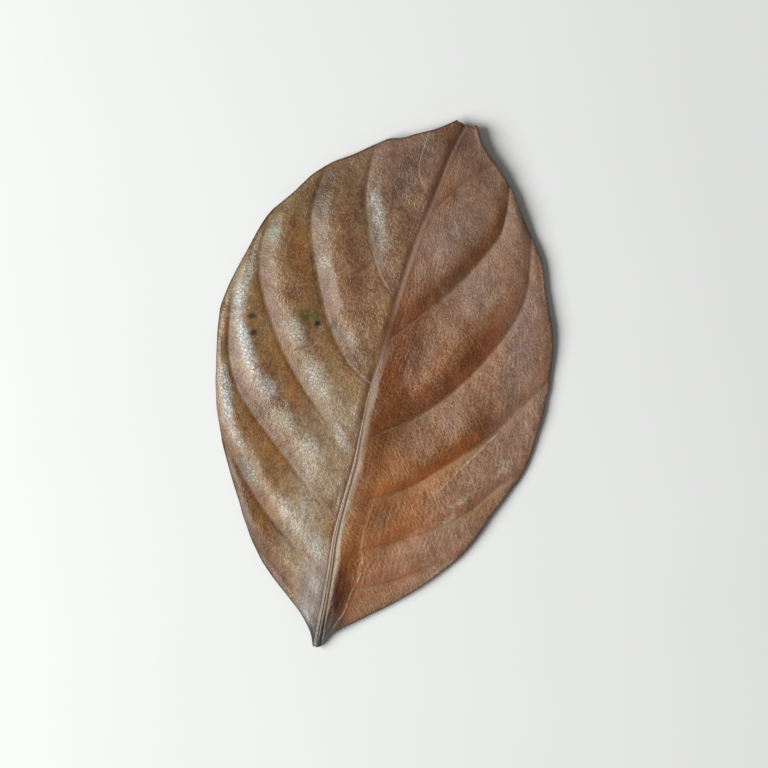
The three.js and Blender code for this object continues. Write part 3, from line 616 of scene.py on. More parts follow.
# patches of pale grey wax: partly the wax's own colour, partly painted highlight on slopes that face the light
attribute("pale", stain(
    (-41.3, 73.6, 10.4, 1.9, 124, 1.00), (-32.5, 64.8, 3.3, 2.2, 131, 0.85), (-25.3, 57.9, 3.8, 2.5, 136, 0.85),
    (-43.5, 60.4, 9.9, 1.5, 114, 1.00), (-36.4, 48.7, 3.3, 1.4, 128, 0.80), (-30.8, 41.2, 4.4, 2.2, 131, 0.75),
    (-29.8, 82.1, 4.9, 2.5, 128, 0.80), (-20.3, 71.1, 6.6, 2.5, 131, 0.95), (-15.1, 84.9, 3.8, 2.7, 126, 0.45),
    (-9.5, 57.6, 4.9, 1.6, 138, 0.90), (-16.9, 52.4, 4.4, 2.5, 136, 0.90), (-7.0, 26.3, 3.8, 2.2, 116, 0.70),
    (-18.7, 123.1, 3.6, 2.2, 114, 0.70), (-16.2, 118.4, 3.0, 1.9, 114, 0.85), (-13.1, 112.7, 3.6, 1.9, 114, 0.50),
    (-30.0, 109.8, 3.6, 2.2, 110, 0.45), (-27.3, 102.3, 2.5, 2.5, 110, 0.75), (-46.8, 94.4, 7.7, 1.6, 87, 0.90),
    (-46.8, 86.7, 4.4, 1.6, 114, 0.70), (-19.3, 35.1, 5.5, 2.5, 136, 0.60), (-12.7, 34.1, 7.7, 3.0, 116, 0.40),
    (35.7, 61.8, 3.8, 1.6, 64, 0.50), (27.3, 50.0, 4.4, 1.1, 46, 0.40), (25.2, 43.6, 3.8, 1.1, 51, 0.40)))
# darker patches: partly the leaf's own colour, partly painted shade in the bands above the right half's veins
attribute("dark", stain(
    (0.5, 129.0, 4.1, 2.2, 76, 0.60), (13.0, 117.4, 7.1, 1.9, 66, 0.85), (-4.5, 92.9, 5.5, 2.7, 81, 0.50),
    (5.1, 105.1, 12.6, 2.2, 59, 0.85), (-35.2, 102.0, 9.3, 2.2, 118, 0.45), (-39.0, 89.5, 7.1, 1.9, 121, 0.35),
    (-27.6, 91.4, 9.9, 2.5, 124, 0.40), (-20.8, 107.6, 11.0, 2.7, 116, 0.35), (-11.0, 136.2, 11.0, 8.2, 76, 0.35),
    (0.1, 142.3, 11.0, 3.8, 136, 0.45), (-32.0, 124.4, 11.0, 3.8, 46, 0.50), (-23.1, 22.5, 9.9, 2.2, 134, 0.50),
    (-12.4, 12.2, 6.6, 1.9, 141, 0.50), (0.9, 12.8, 7.7, 1.6, 96, 0.95), (16.8, 127.1, 6.6, 1.6, 94, 0.80),
    (17.6, 87.5, 12.6, 2.2, 58, 0.60), (-31.9, 52.9, 4.9, 2.2, 131, 0.45)))
attribute("orange", stain(
    (-8.4, 15.0, 3.3, 1.9, 136, 0.50), (6.1, 42.4, 9.3, 6.0, 86, 0.80), (8.1, 27.3, 9.3, 5.5, 81, 0.75),
    (15.9, 53.0, 12.1, 2.7, 48, 0.85), (-0.2, 74.1, 9.3, 2.2, 94, 0.90), (18.9, 37.5, 11.0, 3.8, 46, 0.50),
    (23.9, 64.7, 8.2, 2.5, 56, 0.60), (3.6, 56.0, 6.6, 4.4, 76, 0.60), (28.8, 33.2, 5.5, 3.3, 46, 0.50),
    (18.8, 23.2, 11.0, 3.3, 41, 0.45), (-17.3, 18.2, 6.6, 2.2, 138, 0.90), (-10.6, 13.8, 4.4, 2.2, 144, 0.90),
    (-24.8, 65.0, 6.6, 2.5, 131, 0.50), (-30.8, 53.2, 7.1, 2.2, 134, 0.40)))
# signed lighter and darker spots: partly the leaf's own colour, partly painted light and shade on slopes that turn
# toward or away from the light
attribute("tone_and_shading", np.clip(blend(
    (-0.1, 55.8, 11.0, 1.4, 92, 0.20), (-0.2, 36.3, 9.9, 1.4, 93, 0.22), (-31.5, 41.6, 3.8, 2.2, 128, -0.25),
    (9.9, 80.4, 16.5, 2.5, 58, 0.18), (-31.2, 115.8, 5.5, 3.0, 101, -0.28), (-31.8, 58.6, 6.6, 3.3, 131, -0.20),
    (10.5, 135.9, 6.6, 1.9, 135, -0.30), (-4.5, 88.0, 4.4, 2.7, 81, -0.22), (2.2, 76.5, 13.7, 4.1, 92, -0.38),
    (1.6, 101.2, 7.7, 3.3, 61, -0.30), (4.0, 87.0, 6.6, 3.8, 76, -0.22), (3.6, 60.0, 6.0, 3.8, 86, -0.22),
    (8.8, 38.9, 8.2, 4.4, 81, -0.26), (-15.6, 86.5, 3.8, 2.7, 116, 0.22), (23.6, 111.3, 7.1, 3.3, 101, 0.20),
    (32.0, 82.5, 9.3, 3.8, 96, 0.32), (-13.5, 129.8, 7.1, 3.8, 86, -0.20), (-4.7, 73.6, 8.2, 1.6, 94, -0.20),
    (29.4, 54.9, 7.1, 3.3, 56, 0.15), (-7.2, 141.9, 6.6, 3.3, 66, -0.40), (-8.4, 117.2, 5.5, 2.7, 91, -0.20),
    (-0.3, 56.3, 16.5, 2.2, 91, -0.25), (-19.7, 20.6, 18.1, 2.5, 134, -0.35), (-28.8, 32.3, 4.9, 2.2, 131, -0.30),
    (-33.3, 121.2, 9.9, 3.8, 51, -0.35), (0.9, 145.4, 8.2, 4.4, 126, -0.36), (15.6, 126.2, 7.1, 1.9, 92, -0.35),
    (-12.2, 130.2, 8.2, 3.8, 86, -0.25), (-15.6, 113.4, 6.6, 2.7, 111, -0.20), (-11.6, 78.8, 5.5, 3.3, 116, -0.30),
    (-19.8, 85.3, 4.4, 2.7, 116, -0.25), (5.8, 39.5, 4.4, 3.3, 76, -0.30), (2.2, 14.1, 8.2, 2.7, 88, -0.50),
    (-0.9, 86.2, 5.5, 2.7, 76, 0.25), (24.9, 119.7, 9.9, 2.5, 121, 0.20), (36.5, 85.6, 11.0, 4.4, 101, 0.25),
    (36.8, 62.7, 11.0, 4.9, 71, 0.25), (28.4, 34.3, 14.3, 3.8, 58, 0.30), (-18.8, 35.5, 6.6, 3.3, 134, 0.45),
    (-8.8, 21.5, 6.6, 3.3, 121, 0.40), (-41.9, 75.8, 9.3, 2.5, 116, 0.45), (-42.1, 58.5, 9.3, 1.6, 111, 0.40),
    (21.3, 54.0, 8.2, 3.3, 56, 0.30), (20.8, 40.9, 9.9, 3.8, 56, 0.35), (19.8, 102.8, 4.9, 3.8, 96, 0.30),
    (-47.3, 88.5, 5.5, 2.5, 106, 0.30)), -0.6, 0.5))
# signed redder and cooler spots: partly the leaf's own colour, partly a painted cool reflection on the wax patches of
# the left margin
attribute("warmth_and_reflection_tint", np.clip(blend(
    (11.6, 116.4, 8.2, 2.2, 62, 0.45), (0.3, 129.5, 3.8, 2.2, 76, 0.80), (0.3, 86.2, 4.4, 2.7, 76, -0.50),
    (12.7, 84.7, 5.5, 2.5, 58, -0.50), (-27.4, 31.3, 6.0, 2.5, 131, 0.70), (-21.7, 21.5, 8.2, 2.5, 134, 0.70),
    (5.4, 15.0, 5.5, 2.7, 86, 0.50), (16.7, 23.4, 11.0, 2.2, 44, 0.50), (25.2, 30.5, 11.0, 2.2, 54, -0.60),
    (9.3, 11.5, 5.5, 1.6, 46, -0.60), (10.2, 113.2, 8.2, 2.5, 58, 0.70), (-6.6, 91.1, 4.9, 3.3, 86, 0.50),
    (2.0, 61.3, 5.5, 2.7, 86, 0.50), (25.1, 105.4, 4.9, 2.2, 81, 0.60), (11.4, 40.8, 6.6, 3.3, 71, 0.40),
    (-0.2, 74.9, 8.2, 2.7, 94, 0.50), (-5.8, 34.1, 5.5, 1.6, 96, 0.80), (1.7, 75.5, 22.0, 3.8, 92, 0.90),
    (7.0, 44.1, 13.7, 6.9, 76, 0.80), (19.8, 59.2, 8.2, 3.3, 61, 0.80), (25.1, 65.6, 8.2, 2.7, 58, 0.80),
    (32.1, 50.2, 8.2, 3.3, 51, 0.90), (14.4, 43.4, 7.1, 3.8, 61, 0.70), (2.8, 20.0, 11.0, 2.7, 91, 1.20),
    (-35.7, 104.7, 11.0, 2.2, 118, 0.90), (-40.4, 90.2, 7.1, 2.2, 121, 0.90), (-29.9, 71.8, 8.2, 2.7, 131, 0.80),
    (-29.4, 52.2, 11.0, 3.3, 136, 0.70), (-21.3, 24.2, 9.6, 3.3, 136, 0.70), (-12.5, 76.8, 6.6, 3.8, 116, 0.70),
    (-20.7, 90.5, 8.2, 3.8, 116, 0.40), (18.3, 91.2, 11.0, 2.5, 66, 0.60), (1.3, 100.6, 6.6, 3.3, 66, 1.00),
    (14.9, 127.7, 5.5, 2.2, 91, 1.00), (-3.6, 147.0, 5.5, 2.7, 56, 0.60), (-47.9, 85.5, 16.5, 2.7, 111, -0.70),
    (-40.9, 76.1, 8.2, 2.5, 116, -0.70), (-42.1, 58.5, 11.0, 1.9, 111, -0.80), (-31.6, 65.8, 3.8, 2.7, 131, -0.60),
    (-20.2, 119.3, 11.0, 3.3, 116, -0.50), (3.9, 119.1, 9.3, 6.9, 66, -0.70), (30.7, 93.9, 13.7, 4.4, 102, -0.60),
    (14.2, 103.4, 6.6, 5.5, 76, -0.50), (-12.4, 27.0, 13.7, 3.8, 124, -0.50), (-0.1, 42.0, 8.2, 2.2, 88, -0.60),
    (-0.5, 1.8, 3.3, 2.2, 91, -0.80)), -1.0, 1.0))
attribute("green", stain((-27.2, 86.9, 3.0, 2.5, 30, 0.85), (-25.0, 86.4, 2.6, 2.2, 0, 0.5)))
attribute("mint", stain((-43.2, 106.0, 2.0, 2.3, 0, 0.9)))
attribute("black", stain((-24.5, 85.7, 0.95, 0.85, 0, 1.0)))
attribute("smudge", stain((-42.5, 82.7, 1.5, 1.0, 20, 0.75), (-40.7, 78.4, 1.3, 0.9, 40, 0.85), (-34.7, 44.9, 1.2, 0.7, 0, 0.5),
                          (-30.7, 62.7, 1.2, 0.7, 30, 0.5), (-36.6, 49.0, 1.6, 0.6, 60, 0.4)))
attribute("ladder", np.where(side > 0, 1.0, 0.2) * smooth(0.5, 1.5, dv))


def linear(r, g, b):
    return tuple((v / 12.92 if v <= 0.04045 else ((v + 0.055) / 1.055)**2.4) for v in (r / 255, g / 255, b / 255)) + (1.0,)


class Maker:
    """Short names for the shader nodes of one material."""

    def __init__(self, name):
        self.material = bpy.data.materials.new(name)
        self.material.use_nodes = True
        self.tree = self.material.node_tree
        self.tree.nodes.clear()

    def node(self, kind, **settings):
        n = self.tree.nodes.new(kind)
        for k, v in settings.items():
            setattr(n, k, v)
        return n

    def put(self, socket, value):
        if isinstance(value, bpy.types.NodeSocket):
            self.tree.links.new(value, socket)
        else:
            socket.default_value = value

    def attr(self, name):
        return self.node("ShaderNodeAttribute", attribute_name=name).outputs["Fac"]

    def math(self, op, a, b=0.0, c=0.0, clamp=False):
        n = self.node("ShaderNodeMath", operation=op, use_clamp=clamp)
        for i, v in enumerate((a, b, c)):
            self.put(n.inputs[i], v)
        return n.outputs[0]

    def mul(self, a, b):
        return self.math("MULTIPLY", a, b)

    def plus(self, a, b):
        return self.math("ADD", a, b)

    def ramp(self, v, a, b, low=0.0, high=1.0):
        n = self.node("ShaderNodeMapRange", interpolation_type="SMOOTHSTEP")
        for k, x in (("Value", v), ("From Min", a), ("From Max", b), ("To Min", low), ("To Max", high)):
            self.put(n.inputs[k], x)
        return n.outputs[0]

    def line(self, v, a, b, low=0.0, high=1.0):
        n = self.node("ShaderNodeMapRange", interpolation_type="LINEAR")
        for k, x in (("Value", v), ("From Min", a), ("From Max", b), ("To Min", low), ("To Max", high)):
            self.put(n.inputs[k], x)
        return n.outputs[0]

    def mix(self, fac, a, b, blend="MIX"):
        n = self.node("ShaderNodeMix", data_type="RGBA", blend_type=blend)
        self.put(n.inputs[0], fac)
        self.put(n.inputs[6], a)
        self.put(n.inputs[7], b)
        return n.outputs[2]

    def vector(self, x, y, z=0.0):
        n = self.node("ShaderNodeCombineXYZ")
        for i, v in enumerate((x, y, z)):
            self.put(n.inputs[i], v)
        return n.outputs[0]

    def vmath(self, op, a, b):
        n = self.node("ShaderNodeVectorMath", operation=op)
        self.put(n.inputs[0], a)
        if isinstance(b, float):
            b = (b, b, b)
        self.put(n.inputs[1], b)
        return n.outputs[0]

    def scale(self, a, k):
        n = self.node("ShaderNodeVectorMath", operation="SCALE")
        self.put(n.inputs[0], a)
        self.put(n.inputs["Scale"], k)
        return n.outputs[0]

    def noise(self, vector, size, detail=2.0, rough=0.5, distortion=0.0, colour=False):
        n = self.node("ShaderNodeTexNoise", noise_dimensions="3D")
        self.put(n.inputs["Vector"], vector)
        n.inputs["Scale"].default_value = 1.0 / size
        n.inputs["Detail"].default_value = detail
        n.inputs["Roughness"].default_value = rough
        n.inputs["Distortion"].default_value = distortion
        return n.outputs["Color" if colour else "Fac"]

    def cells(self, vector, size, feature="DISTANCE_TO_EDGE", randomness=1.0):
        n = self.node("ShaderNodeTexVoronoi", voronoi_dimensions="2D", feature=feature)
        self.put(n.inputs["Vector"], vector)
        n.inputs["Scale"].default_value = 1.0 / size
        n.inputs["Randomness"].default_value = randomness
        return n.outputs["Distance"]

    def warp(self, vector, size, amount):
        c = self.vmath("SUBTRACT", self.noise(vector, size, 2.0, 0.5, colour=True), 0.5)
        return self.vmath("ADD", vector, self.scale(c, amount * 2))


def upper_face():
    m = Maker("leaf_upper")
    pos = m.scale(m.node("ShaderNodeTexCoord").outputs["Object"], 1000.0)
    a = {k: m.attr(k) for k in ("dm", "tm", "de", "dv", "uv", "panel_f", "along", "across", "left", "sheen_amount", "strip",
                                "pale", "dark", "orange", "mauve_sheen", "olive", "lavender_sheen", "maroon_shade", "green", "black",
                                "smudge", "thread", "thread_u", "seam", "ladder", "tone_and_shading", "warmth_and_reflection_tint", "tan", "lowright", "dull", "mint")}
    dma = m.math("ABSOLUTE", a["dm"])
    right_side = m.math("SUBTRACT", 1.0, a["left"])
    sub = lambda x: m.math("SUBTRACT", x, 0.5)
    wpos = m.warp(pos, 3.0, 0.9)

    big = m.noise(pos, 11.0, 3.0, 0.55)
    patch = m.noise(m.vmath("ADD", wpos, (40.0, 7.0, 0.0)), 5.0, 3.0, 0.6)
    mid = m.noise(wpos, 2.6, 3.0, 0.6)
    small = m.noise(wpos, 0.8, 3.0, 0.65)
    # worm-like wrinkles of the waxy skin: ridges where a smooth field crosses its middle
    worm_field = m.noise(m.warp(pos, 2.0, 0.5), 1.6, 1.0, 0.5)
    worm = m.ramp(m.math("ABSOLUTE", sub(worm_field)), 0.075, 0.0)
    tiny = m.noise(pos, 0.62, 2.0, 0.6)
    film = m.math("MINIMUM", 1.0, m.plus(m.mul(worm, 0.85), m.ramp(tiny, 0.45, 0.70, 0.0, 0.7)))

    # net of small veins: rungs between the side veins, threads across them and a finer mesh
    lean = m.plus(m.mul(a["along"], m.ramp(right_side, 0.0, 1.0, 1.0, 0.75)), m.mul(a["across"], m.ramp(right_side, 0.0, 1.0, 0.0, 0.98)))
    slanted = m.warp(m.vector(lean, a["across"]), 5.0, 0.5)
    rung = m.cells(m.vmath("MULTIPLY", slanted, (1.0, 0.22, 1.0)), 1.45)
    coarse = m.cells(wpos, 2.6)
    net = m.cells(m.warp(pos, 1.6, 0.7), 1.1)
    rung_line = m.mul(m.ramp(rung, 0.10, 0.02), m.mul(a["ladder"], m.ramp(m.plus(patch, m.mul(a["lowright"], 0.15)), 0.38, 0.58, 0.0, 0.35)))
    drift = m.plus(lean, m.mul(sub(m.noise(pos, 3.0, 1.0, 0.5)), 1.6))
    gaps = m.noise(m.vector(m.mul(lean, 0.9), m.mul(a["across"], 0.3), 3.0), 1.1, 1.0, 0.5)
    long_rung = m.mul(m.ramp(m.math("PINGPONG", drift, 0.8), 0.17, 0.05), m.mul(right_side, m.ramp(m.plus(gaps, m.mul(a["lowright"], 0.06)), 0.50, 0.59)))
    rung_line = m.math("MAXIMUM", rung_line, m.mul(long_rung, m.mul(a["ladder"], 1.0)))
    coarse_line = m.mul(m.mul(m.ramp(coarse, 0.08, 0.015), right_side), m.ramp(mid, 0.45, 0.60, 0.0, 0.45))
    net_line = m.mul(m.ramp(net, 0.13, 0.02), m.mul(m.ramp(small, 0.36, 0.60), m.ramp(patch, 0.35, 0.6, 0.4, m.ramp(a["left"], 0.0, 1.0, 0.75, 0.65))))
    # pale wrinkle lines of the wax on the left half, partly painted glints
    worm_line = m.mul(m.mul(worm, a["left"]), m.ramp(mid, 0.36, 0.60, 0.05, 0.55))
    lines = m.math("MAXIMUM", m.math("MAXIMUM", m.mul(rung_line, 0.9), coarse_line), m.math("MAXIMUM", net_line, worm_line))
    lines = m.mul(m.mul(lines, m.ramp(dma, 0.8, 2.2)), m.ramp(a["maroon_shade"], 0.1, 0.5, 1.0, 0.25))
    # fewer pale lines on the band above each right vein, where shade falls (painted shade), and on the painted sheen
    # band below each vein
    calm = m.mul(right_side, m.ramp(m.plus(a["panel_f"], m.mul(sub(patch), 0.2)), 0.34, 0.08))
    # the band just below each right vein, on the side that faces the light
    vein_sheen_band = m.mul(m.mul(m.ramp(a["dv"], 1.9, 0.8), m.ramp(a["panel_f"], 0.5, 0.75)), m.mul(m.mul(right_side, m.ramp(dma, 5.0, 14.0)), m.ramp(a["tm"], 0.24, 0.36, 0.2, 1.0)))
    lines = m.mul(lines, m.ramp(m.math("MAXIMUM", calm, vein_sheen_band), 0.0, 1.0, 1.0, 0.5))

    # body colour: deep orange-brown on the right half, golden brown on the left
    rag = m.plus(m.mul(sub(mid), 0.55), m.mul(sub(small), 0.35))
    broken = lambda k: m.mul(m.ramp(m.plus(a[k], rag), 0.05, 0.95), m.ramp(a[k], 0.0, 0.12))
    deep = m.mix(m.ramp(big, 0.35, 0.65), linear(138, 76, 32), linear(118, 66, 30))
    gold = m.mix(m.ramp(patch, 0.38, 0.62), linear(136, 96, 46), linear(112, 72, 42))
    russet = m.mix(m.ramp(patch, 0.38, 0.62), linear(128, 84, 50), linear(106, 66, 44))
    gold = m.mix(m.mul(m.ramp(a["tm"], 0.5, 0.66), m.ramp(dma, 26.0, 14.0, 0.3, 0.9)), gold, russet)
    col = m.mix(a["left"], deep, gold)
    col = m.mix(m.mul(broken("lowright"), 0.6), col, linear(166, 104, 58))
    col = m.mix(m.mul(broken("orange"), 0.70), col, linear(158, 94, 48))
    # painted sheen: paler, greyer skin on the side of each panel that faces the light
    f = m.plus(a["panel_f"], m.plus(m.mul(sub(mid), 0.35), m.mul(sub(patch), 0.45)))
    painted_sheen_right = m.mul(m.mul(m.ramp(f, 0.22, 0.55), a["sheen_amount"]), right_side)
    painted_sheen_left = m.mul(m.mul(m.mul(m.ramp(f, 0.80, 0.25), a["sheen_amount"]), a["left"]), m.ramp(a["dull"], 0.0, 1.0, 1.0, 0.45))
    # painted shade on the light-facing slope next to each vein of the left half, and painted light on the shaded slope
    # before the next vein
    lit_slope_shade = m.mul(m.mul(m.ramp(a["dv"], 4.4, 1.0), m.ramp(a["panel_f"], 0.5, 0.3)), a["left"])
    shaded_slope_light = m.mul(m.mul(m.ramp(a["panel_f"], 0.55, 0.8), m.ramp(a["dv"], 0.4, 1.6)), a["left"])
    painted_sheen_left = m.mul(painted_sheen_left, m.ramp(lit_slope_shade, 0.0, 1.0, 1.0, 0.2))
    sheen_colour_right = m.mix(m.ramp(patch, 0.35, 0.65), linear(148, 116, 94), linear(142, 100, 70))
    sheen_colour_left = m.mix(m.ramp(patch, 0.35, 0.65), linear(156, 136, 112), linear(144, 110, 80))
    skin = m.ramp(film, 0.1, 0.9, 0.28, 1.0)
    col = m.mix(m.mul(painted_sheen_right, skin), col, sheen_colour_right)
    col = m.mix(m.mul(painted_sheen_left, skin), col, sheen_colour_left)
    # painted sheen: a pale tan on the inner left half, weaker next to the veins
    col = m.mix(m.mul(m.mul(broken("tan"), m.ramp(film, 0.1, 0.9, 0.5, 1.0)), m.ramp(lit_slope_shade, 0.0, 1.0, 0.75, 0.3)), col, linear(168, 152, 130))
    # painted light: a paler colour on the shaded slope of each left panel
    col = m.mix(m.mul(shaded_slope_light, m.ramp(film, 0.1, 0.9, 0.15, 0.45)), col, linear(140, 118, 88))
    # pinkish-grey over the outer right half and the top, partly painted sheen
    col = m.mix(m.mul(broken("mauve_sheen"), 0.65), col, linear(140, 110, 96))
    col = m.mix(m.mul(broken("olive"), 0.5), col, linear(122, 102, 70))
    # pale lilac-grey at the left base, partly painted sheen
    col = m.mix(m.mul(broken("lavender_sheen"), 0.82), col, linear(161, 156, 152))
    # dark red-brown at the right base, partly painted shade
    col = m.mix(m.mul(broken("maroon_shade"), 0.9), col, linear(72, 38, 22))
    # darker patches, partly painted shade above the right half's veins
    col = m.mix(m.mul(broken("dark"), 0.72), col, linear(102, 53, 20))
    # reddish and dark mottling
    col = m.mix(m.ramp(patch, 0.56, 0.72, 0.0, 0.35), col, linear(132, 72, 46))
    col = m.mix(m.ramp(mid, 0.42, 0.22, 0.0, 0.45), col, linear(88, 52, 28))
    col = m.mix(m.ramp(small, 0.46, 0.20, 0.0, 0.50), col, linear(72, 42, 24))
    col = m.mix(m.mul(lines, m.ramp(a["left"], 0.0, 1.0, 0.74, 0.50)), col, linear(192, 164, 130))
    col = m.mix(m.mul(a["strip"], m.ramp(small, 0.2, 0.7, 0.7, 1.0)), col, linear(154, 135, 112))
    # painted sheen: a paler band just below each right vein
    col = m.mix(m.mul(vein_sheen_band, m.ramp(mid, 0.35, 0.6, 0.15, 0.6)), col, linear(150, 126, 103))
    # pale grey wax in the listed patches: partly the wax's own colour, partly a painted highlight
    wax_and_highlight = m.mul(m.ramp(m.plus(a["pale"], m.mul(rag, 1.1)), 0.05, 0.85), m.ramp(a["pale"], 0.0, 0.12))
    scales = m.ramp(m.cells(m.warp(pos, 1.3, 0.6), 1.1), 0.02, 0.13)
    crumb = m.mul(scales, m.ramp(small, 0.36, 0.58, 0.25, 1.0))
    cracks = m.mul(m.math("SUBTRACT", 1.0, scales), m.math("MAXIMUM", m.mul(wax_and_highlight, 0.4), m.mul(a["left"], m.ramp(mid, 0.4, 0.6, 0.0, 0.28))))
    col = m.mix(cracks, col, linear(100, 74, 48))
    col = m.mix(m.mul(wax_and_highlight, m.ramp(crumb, 0.0, 1.0, 0.2, 0.88)), col, linear(192, 186, 170))
    # bleached and darker, redder and cooler parts of the leaf: partly the leaf's own colour, partly painted light and
    # shade, with painted light on the shaded slopes and painted shade on the lit slopes of the left panels, and a
    # cooler tint that is a painted reflection on the wax patches
    tone_and_shading = m.plus(m.plus(1.0, m.mul(shaded_slope_light, 0.08)), m.mul(a["tone_and_shading"], m.ramp(mid, 0.3, 0.7, 0.75, 1.25)))
    tone_and_shading = m.plus(tone_and_shading, m.mul(lit_slope_shade, -0.17))
    warmth_and_reflection_tint = m.mul(a["warmth_and_reflection_tint"], m.ramp(mid, 0.3, 0.7, 0.7, 1.3))
    shift = m.node("ShaderNodeCombineColor")
    for i, k in enumerate((0.08, -0.10, -0.40)):
        m.put(shift.inputs[i], m.mul(tone_and_shading, m.plus(1.0, m.mul(warmth_and_reflection_tint, k))))
    col = m.mix(1.0, col, shift.outputs[0], "MULTIPLY")
    # side veins, midrib, crease
    # painted shade: darker brown in the side veins' grooves
    vein_groove_shade = m.mul(m.ramp(a["dv"], 0.55, 0.1), m.ramp(a["uv"], 1.0, 0.55, 0.35, 1.0))
    col = m.mix(m.mul(vein_groove_shade, m.ramp(mid, 0.35, 0.6, 0.05, 0.35)), col, linear(88, 54, 30))
    vein_thread = m.mul(m.ramp(a["dv"], 0.45, 0.15), m.mul(m.ramp(dma, 18.0, 5.0), m.ramp(mid, 0.34, 0.52, 0.25, 1.0)))
    outer = m.mul(m.mul(m.ramp(m.math("ABSOLUTE", sub(m.plus(a["dv"], 0.25))), 0.28, 0.05), right_side), m.mul(m.ramp(dma, 20.0, 30.0), m.ramp(mid, 0.34, 0.52)))
    vein_thread = m.math("MAXIMUM", vein_thread, m.mul(outer, m.ramp(a["tm"], 0.56, 0.46)))
    vein_thread = m.mul(vein_thread, m.ramp(a["maroon_shade"], 0.05, 0.3, 1.0, 0.0))
    col = m.mix(m.mul(vein_thread, m.ramp(a["left"], 0.0, 1.0, 0.25, 0.65)), col, linear(168, 148, 122))
    shade = m.mul(m.mul(m.ramp(a["dm"], -3.2, -0.9), m.ramp(a["dm"], -0.2, -0.6)), m.ramp(a["tm"], 0.02, 0.14, 0.3, 1.0))
    shade = m.mul(shade, m.math("MAXIMUM", m.ramp(a["tm"], 0.48, 0.53, 0.8, 0.25), m.ramp(a["tm"], 0.61, 0.67)))
    col = m.mix(m.mul(shade, m.ramp(mid, 0.3, 0.65, 0.45, 0.85)), col, m.mix(m.ramp(a["tm"], 0.55, 0.65), linear(104, 68, 44), linear(92, 52, 34)))
    low_rib = m.ramp(a["tm"], 0.66, 0.48, 0.0, 1.0)
    rib = m.ramp(dma, m.line(a["tm"], 0.0, 0.45, 0.95, 0.50), m.line(a["tm"], 0.0, 0.45, 0.65, 0.15))
    high = m.mul(m.mul(m.ramp(dma, 0.95, 0.2), m.ramp(a["tm"], 0.60, 0.67)), m.ramp(a["tm"], 0.86, 0.74, 0.25, 0.75))
    col = m.mix(m.mul(m.mul(rib, low_rib), m.ramp(small, 0.25, 0.7, 0.6, 0.95)), col, linear(140, 120, 98))
    col = m.mix(m.mul(high, m.ramp(small, 0.25, 0.7, 0.5, 0.95)), col, linear(158, 138, 116))
    saddle = m.mul(m.ramp(m.math("ABSOLUTE", m.math("SUBTRACT", a["tm"], 0.552)), 0.030, 0.012), m.mul(m.ramp(a["dm"], 3.6, 1.2), m.ramp(a["dm"], -1.2, 0.2)))
    col = m.mix(m.mul(saddle, m.ramp(small, 0.25, 0.7, 0.55, 0.85)), col, linear(134, 104, 86))
    # painted shade: a dark line along the right side of the low midrib
    rib_right_shade = m.mul(m.mul(m.ramp(a["dm"], 0.15, 0.40), m.ramp(a["dm"], 1.05, 0.65)), m.mul(low_rib, m.ramp(a["tm"], 0.05, 0.16, 0.35, 1.0)))
    col = m.mix(m.mul(rib_right_shade, 0.5), col, linear(84, 68, 50))
    # painted shade: a dark line in the fold along the midrib toward the tip
    tip_fold_shade = m.mul(m.ramp(m.math("ABSOLUTE", m.plus(a["dm"], 0.3)), 1.2, 0.2), m.ramp(a["tm"], 0.78, 0.9))
    col = m.mix(m.mul(tip_fold_shade, 0.75), col, linear(84, 54, 40))
    thread = m.mul(m.ramp(m.math("ABSOLUTE", m.plus(a["thread"], m.mul(sub(small), 0.25))), 0.26, 0.08), m.ramp(a["thread_u"], 0.85, 0.45))
    thread = m.mul(thread, m.mul(right_side, m.ramp(mid, 0.38, 0.55, 0.15, 1.0)))
    col = m.mix(m.mul(thread, 0.75), col, linear(200, 168, 128))
    col = m.mix(m.mul(m.ramp(a["seam"], 0.35, 0.9), m.ramp(mid, 0.36, 0.55, 0.2, 0.6)), col, linear(196, 172, 136))
    stub = m.ramp(a["tm"], 0.080, 0.015)
    col = m.mix(m.mul(stub, 0.85), col, linear(78, 77, 73))
    # margin: a dark rim, partly the edge's own darker brown and partly painted shade where it curls under
    edge = m.ramp(m.plus(a["de"], m.mul(sub(small), 0.5)), 0.70, 0.12)
    col = m.mix(m.mul(edge, 0.7), col, m.mix(stub, linear(62, 42, 34), linear(72, 71, 68)))
    # painted shade: a darker band along the lower left margin where it turns down
    col = m.mix(m.mul(m.mul(a["dull"], m.ramp(m.plus(a["de"], m.mul(sub(mid), 1.5)), 2.8, 0.9)), 0.7), col, linear(98, 64, 44))
    # spots
    spotted = lambda k, w: m.ramp(m.plus(a[k], m.mul(sub(small), w)), 0.15, 0.75)
    col = m.mix(m.mul(spotted("green", 0.8), 0.72), col, m.mix(m.ramp(mid, 0.35, 0.6), linear(70, 72, 34), linear(98, 94, 50)))
    col = m.mix(m.mul(spotted("mint", 0.8), 0.65), col, linear(134, 148, 124))
    col = m.mix(m.mul(spotted("smudge", 0.9), 0.9), col, linear(58, 50, 36))
    col = m.mix(m.mul(spotted("black", 0.4), 0.92), col, linear(38, 34, 24))

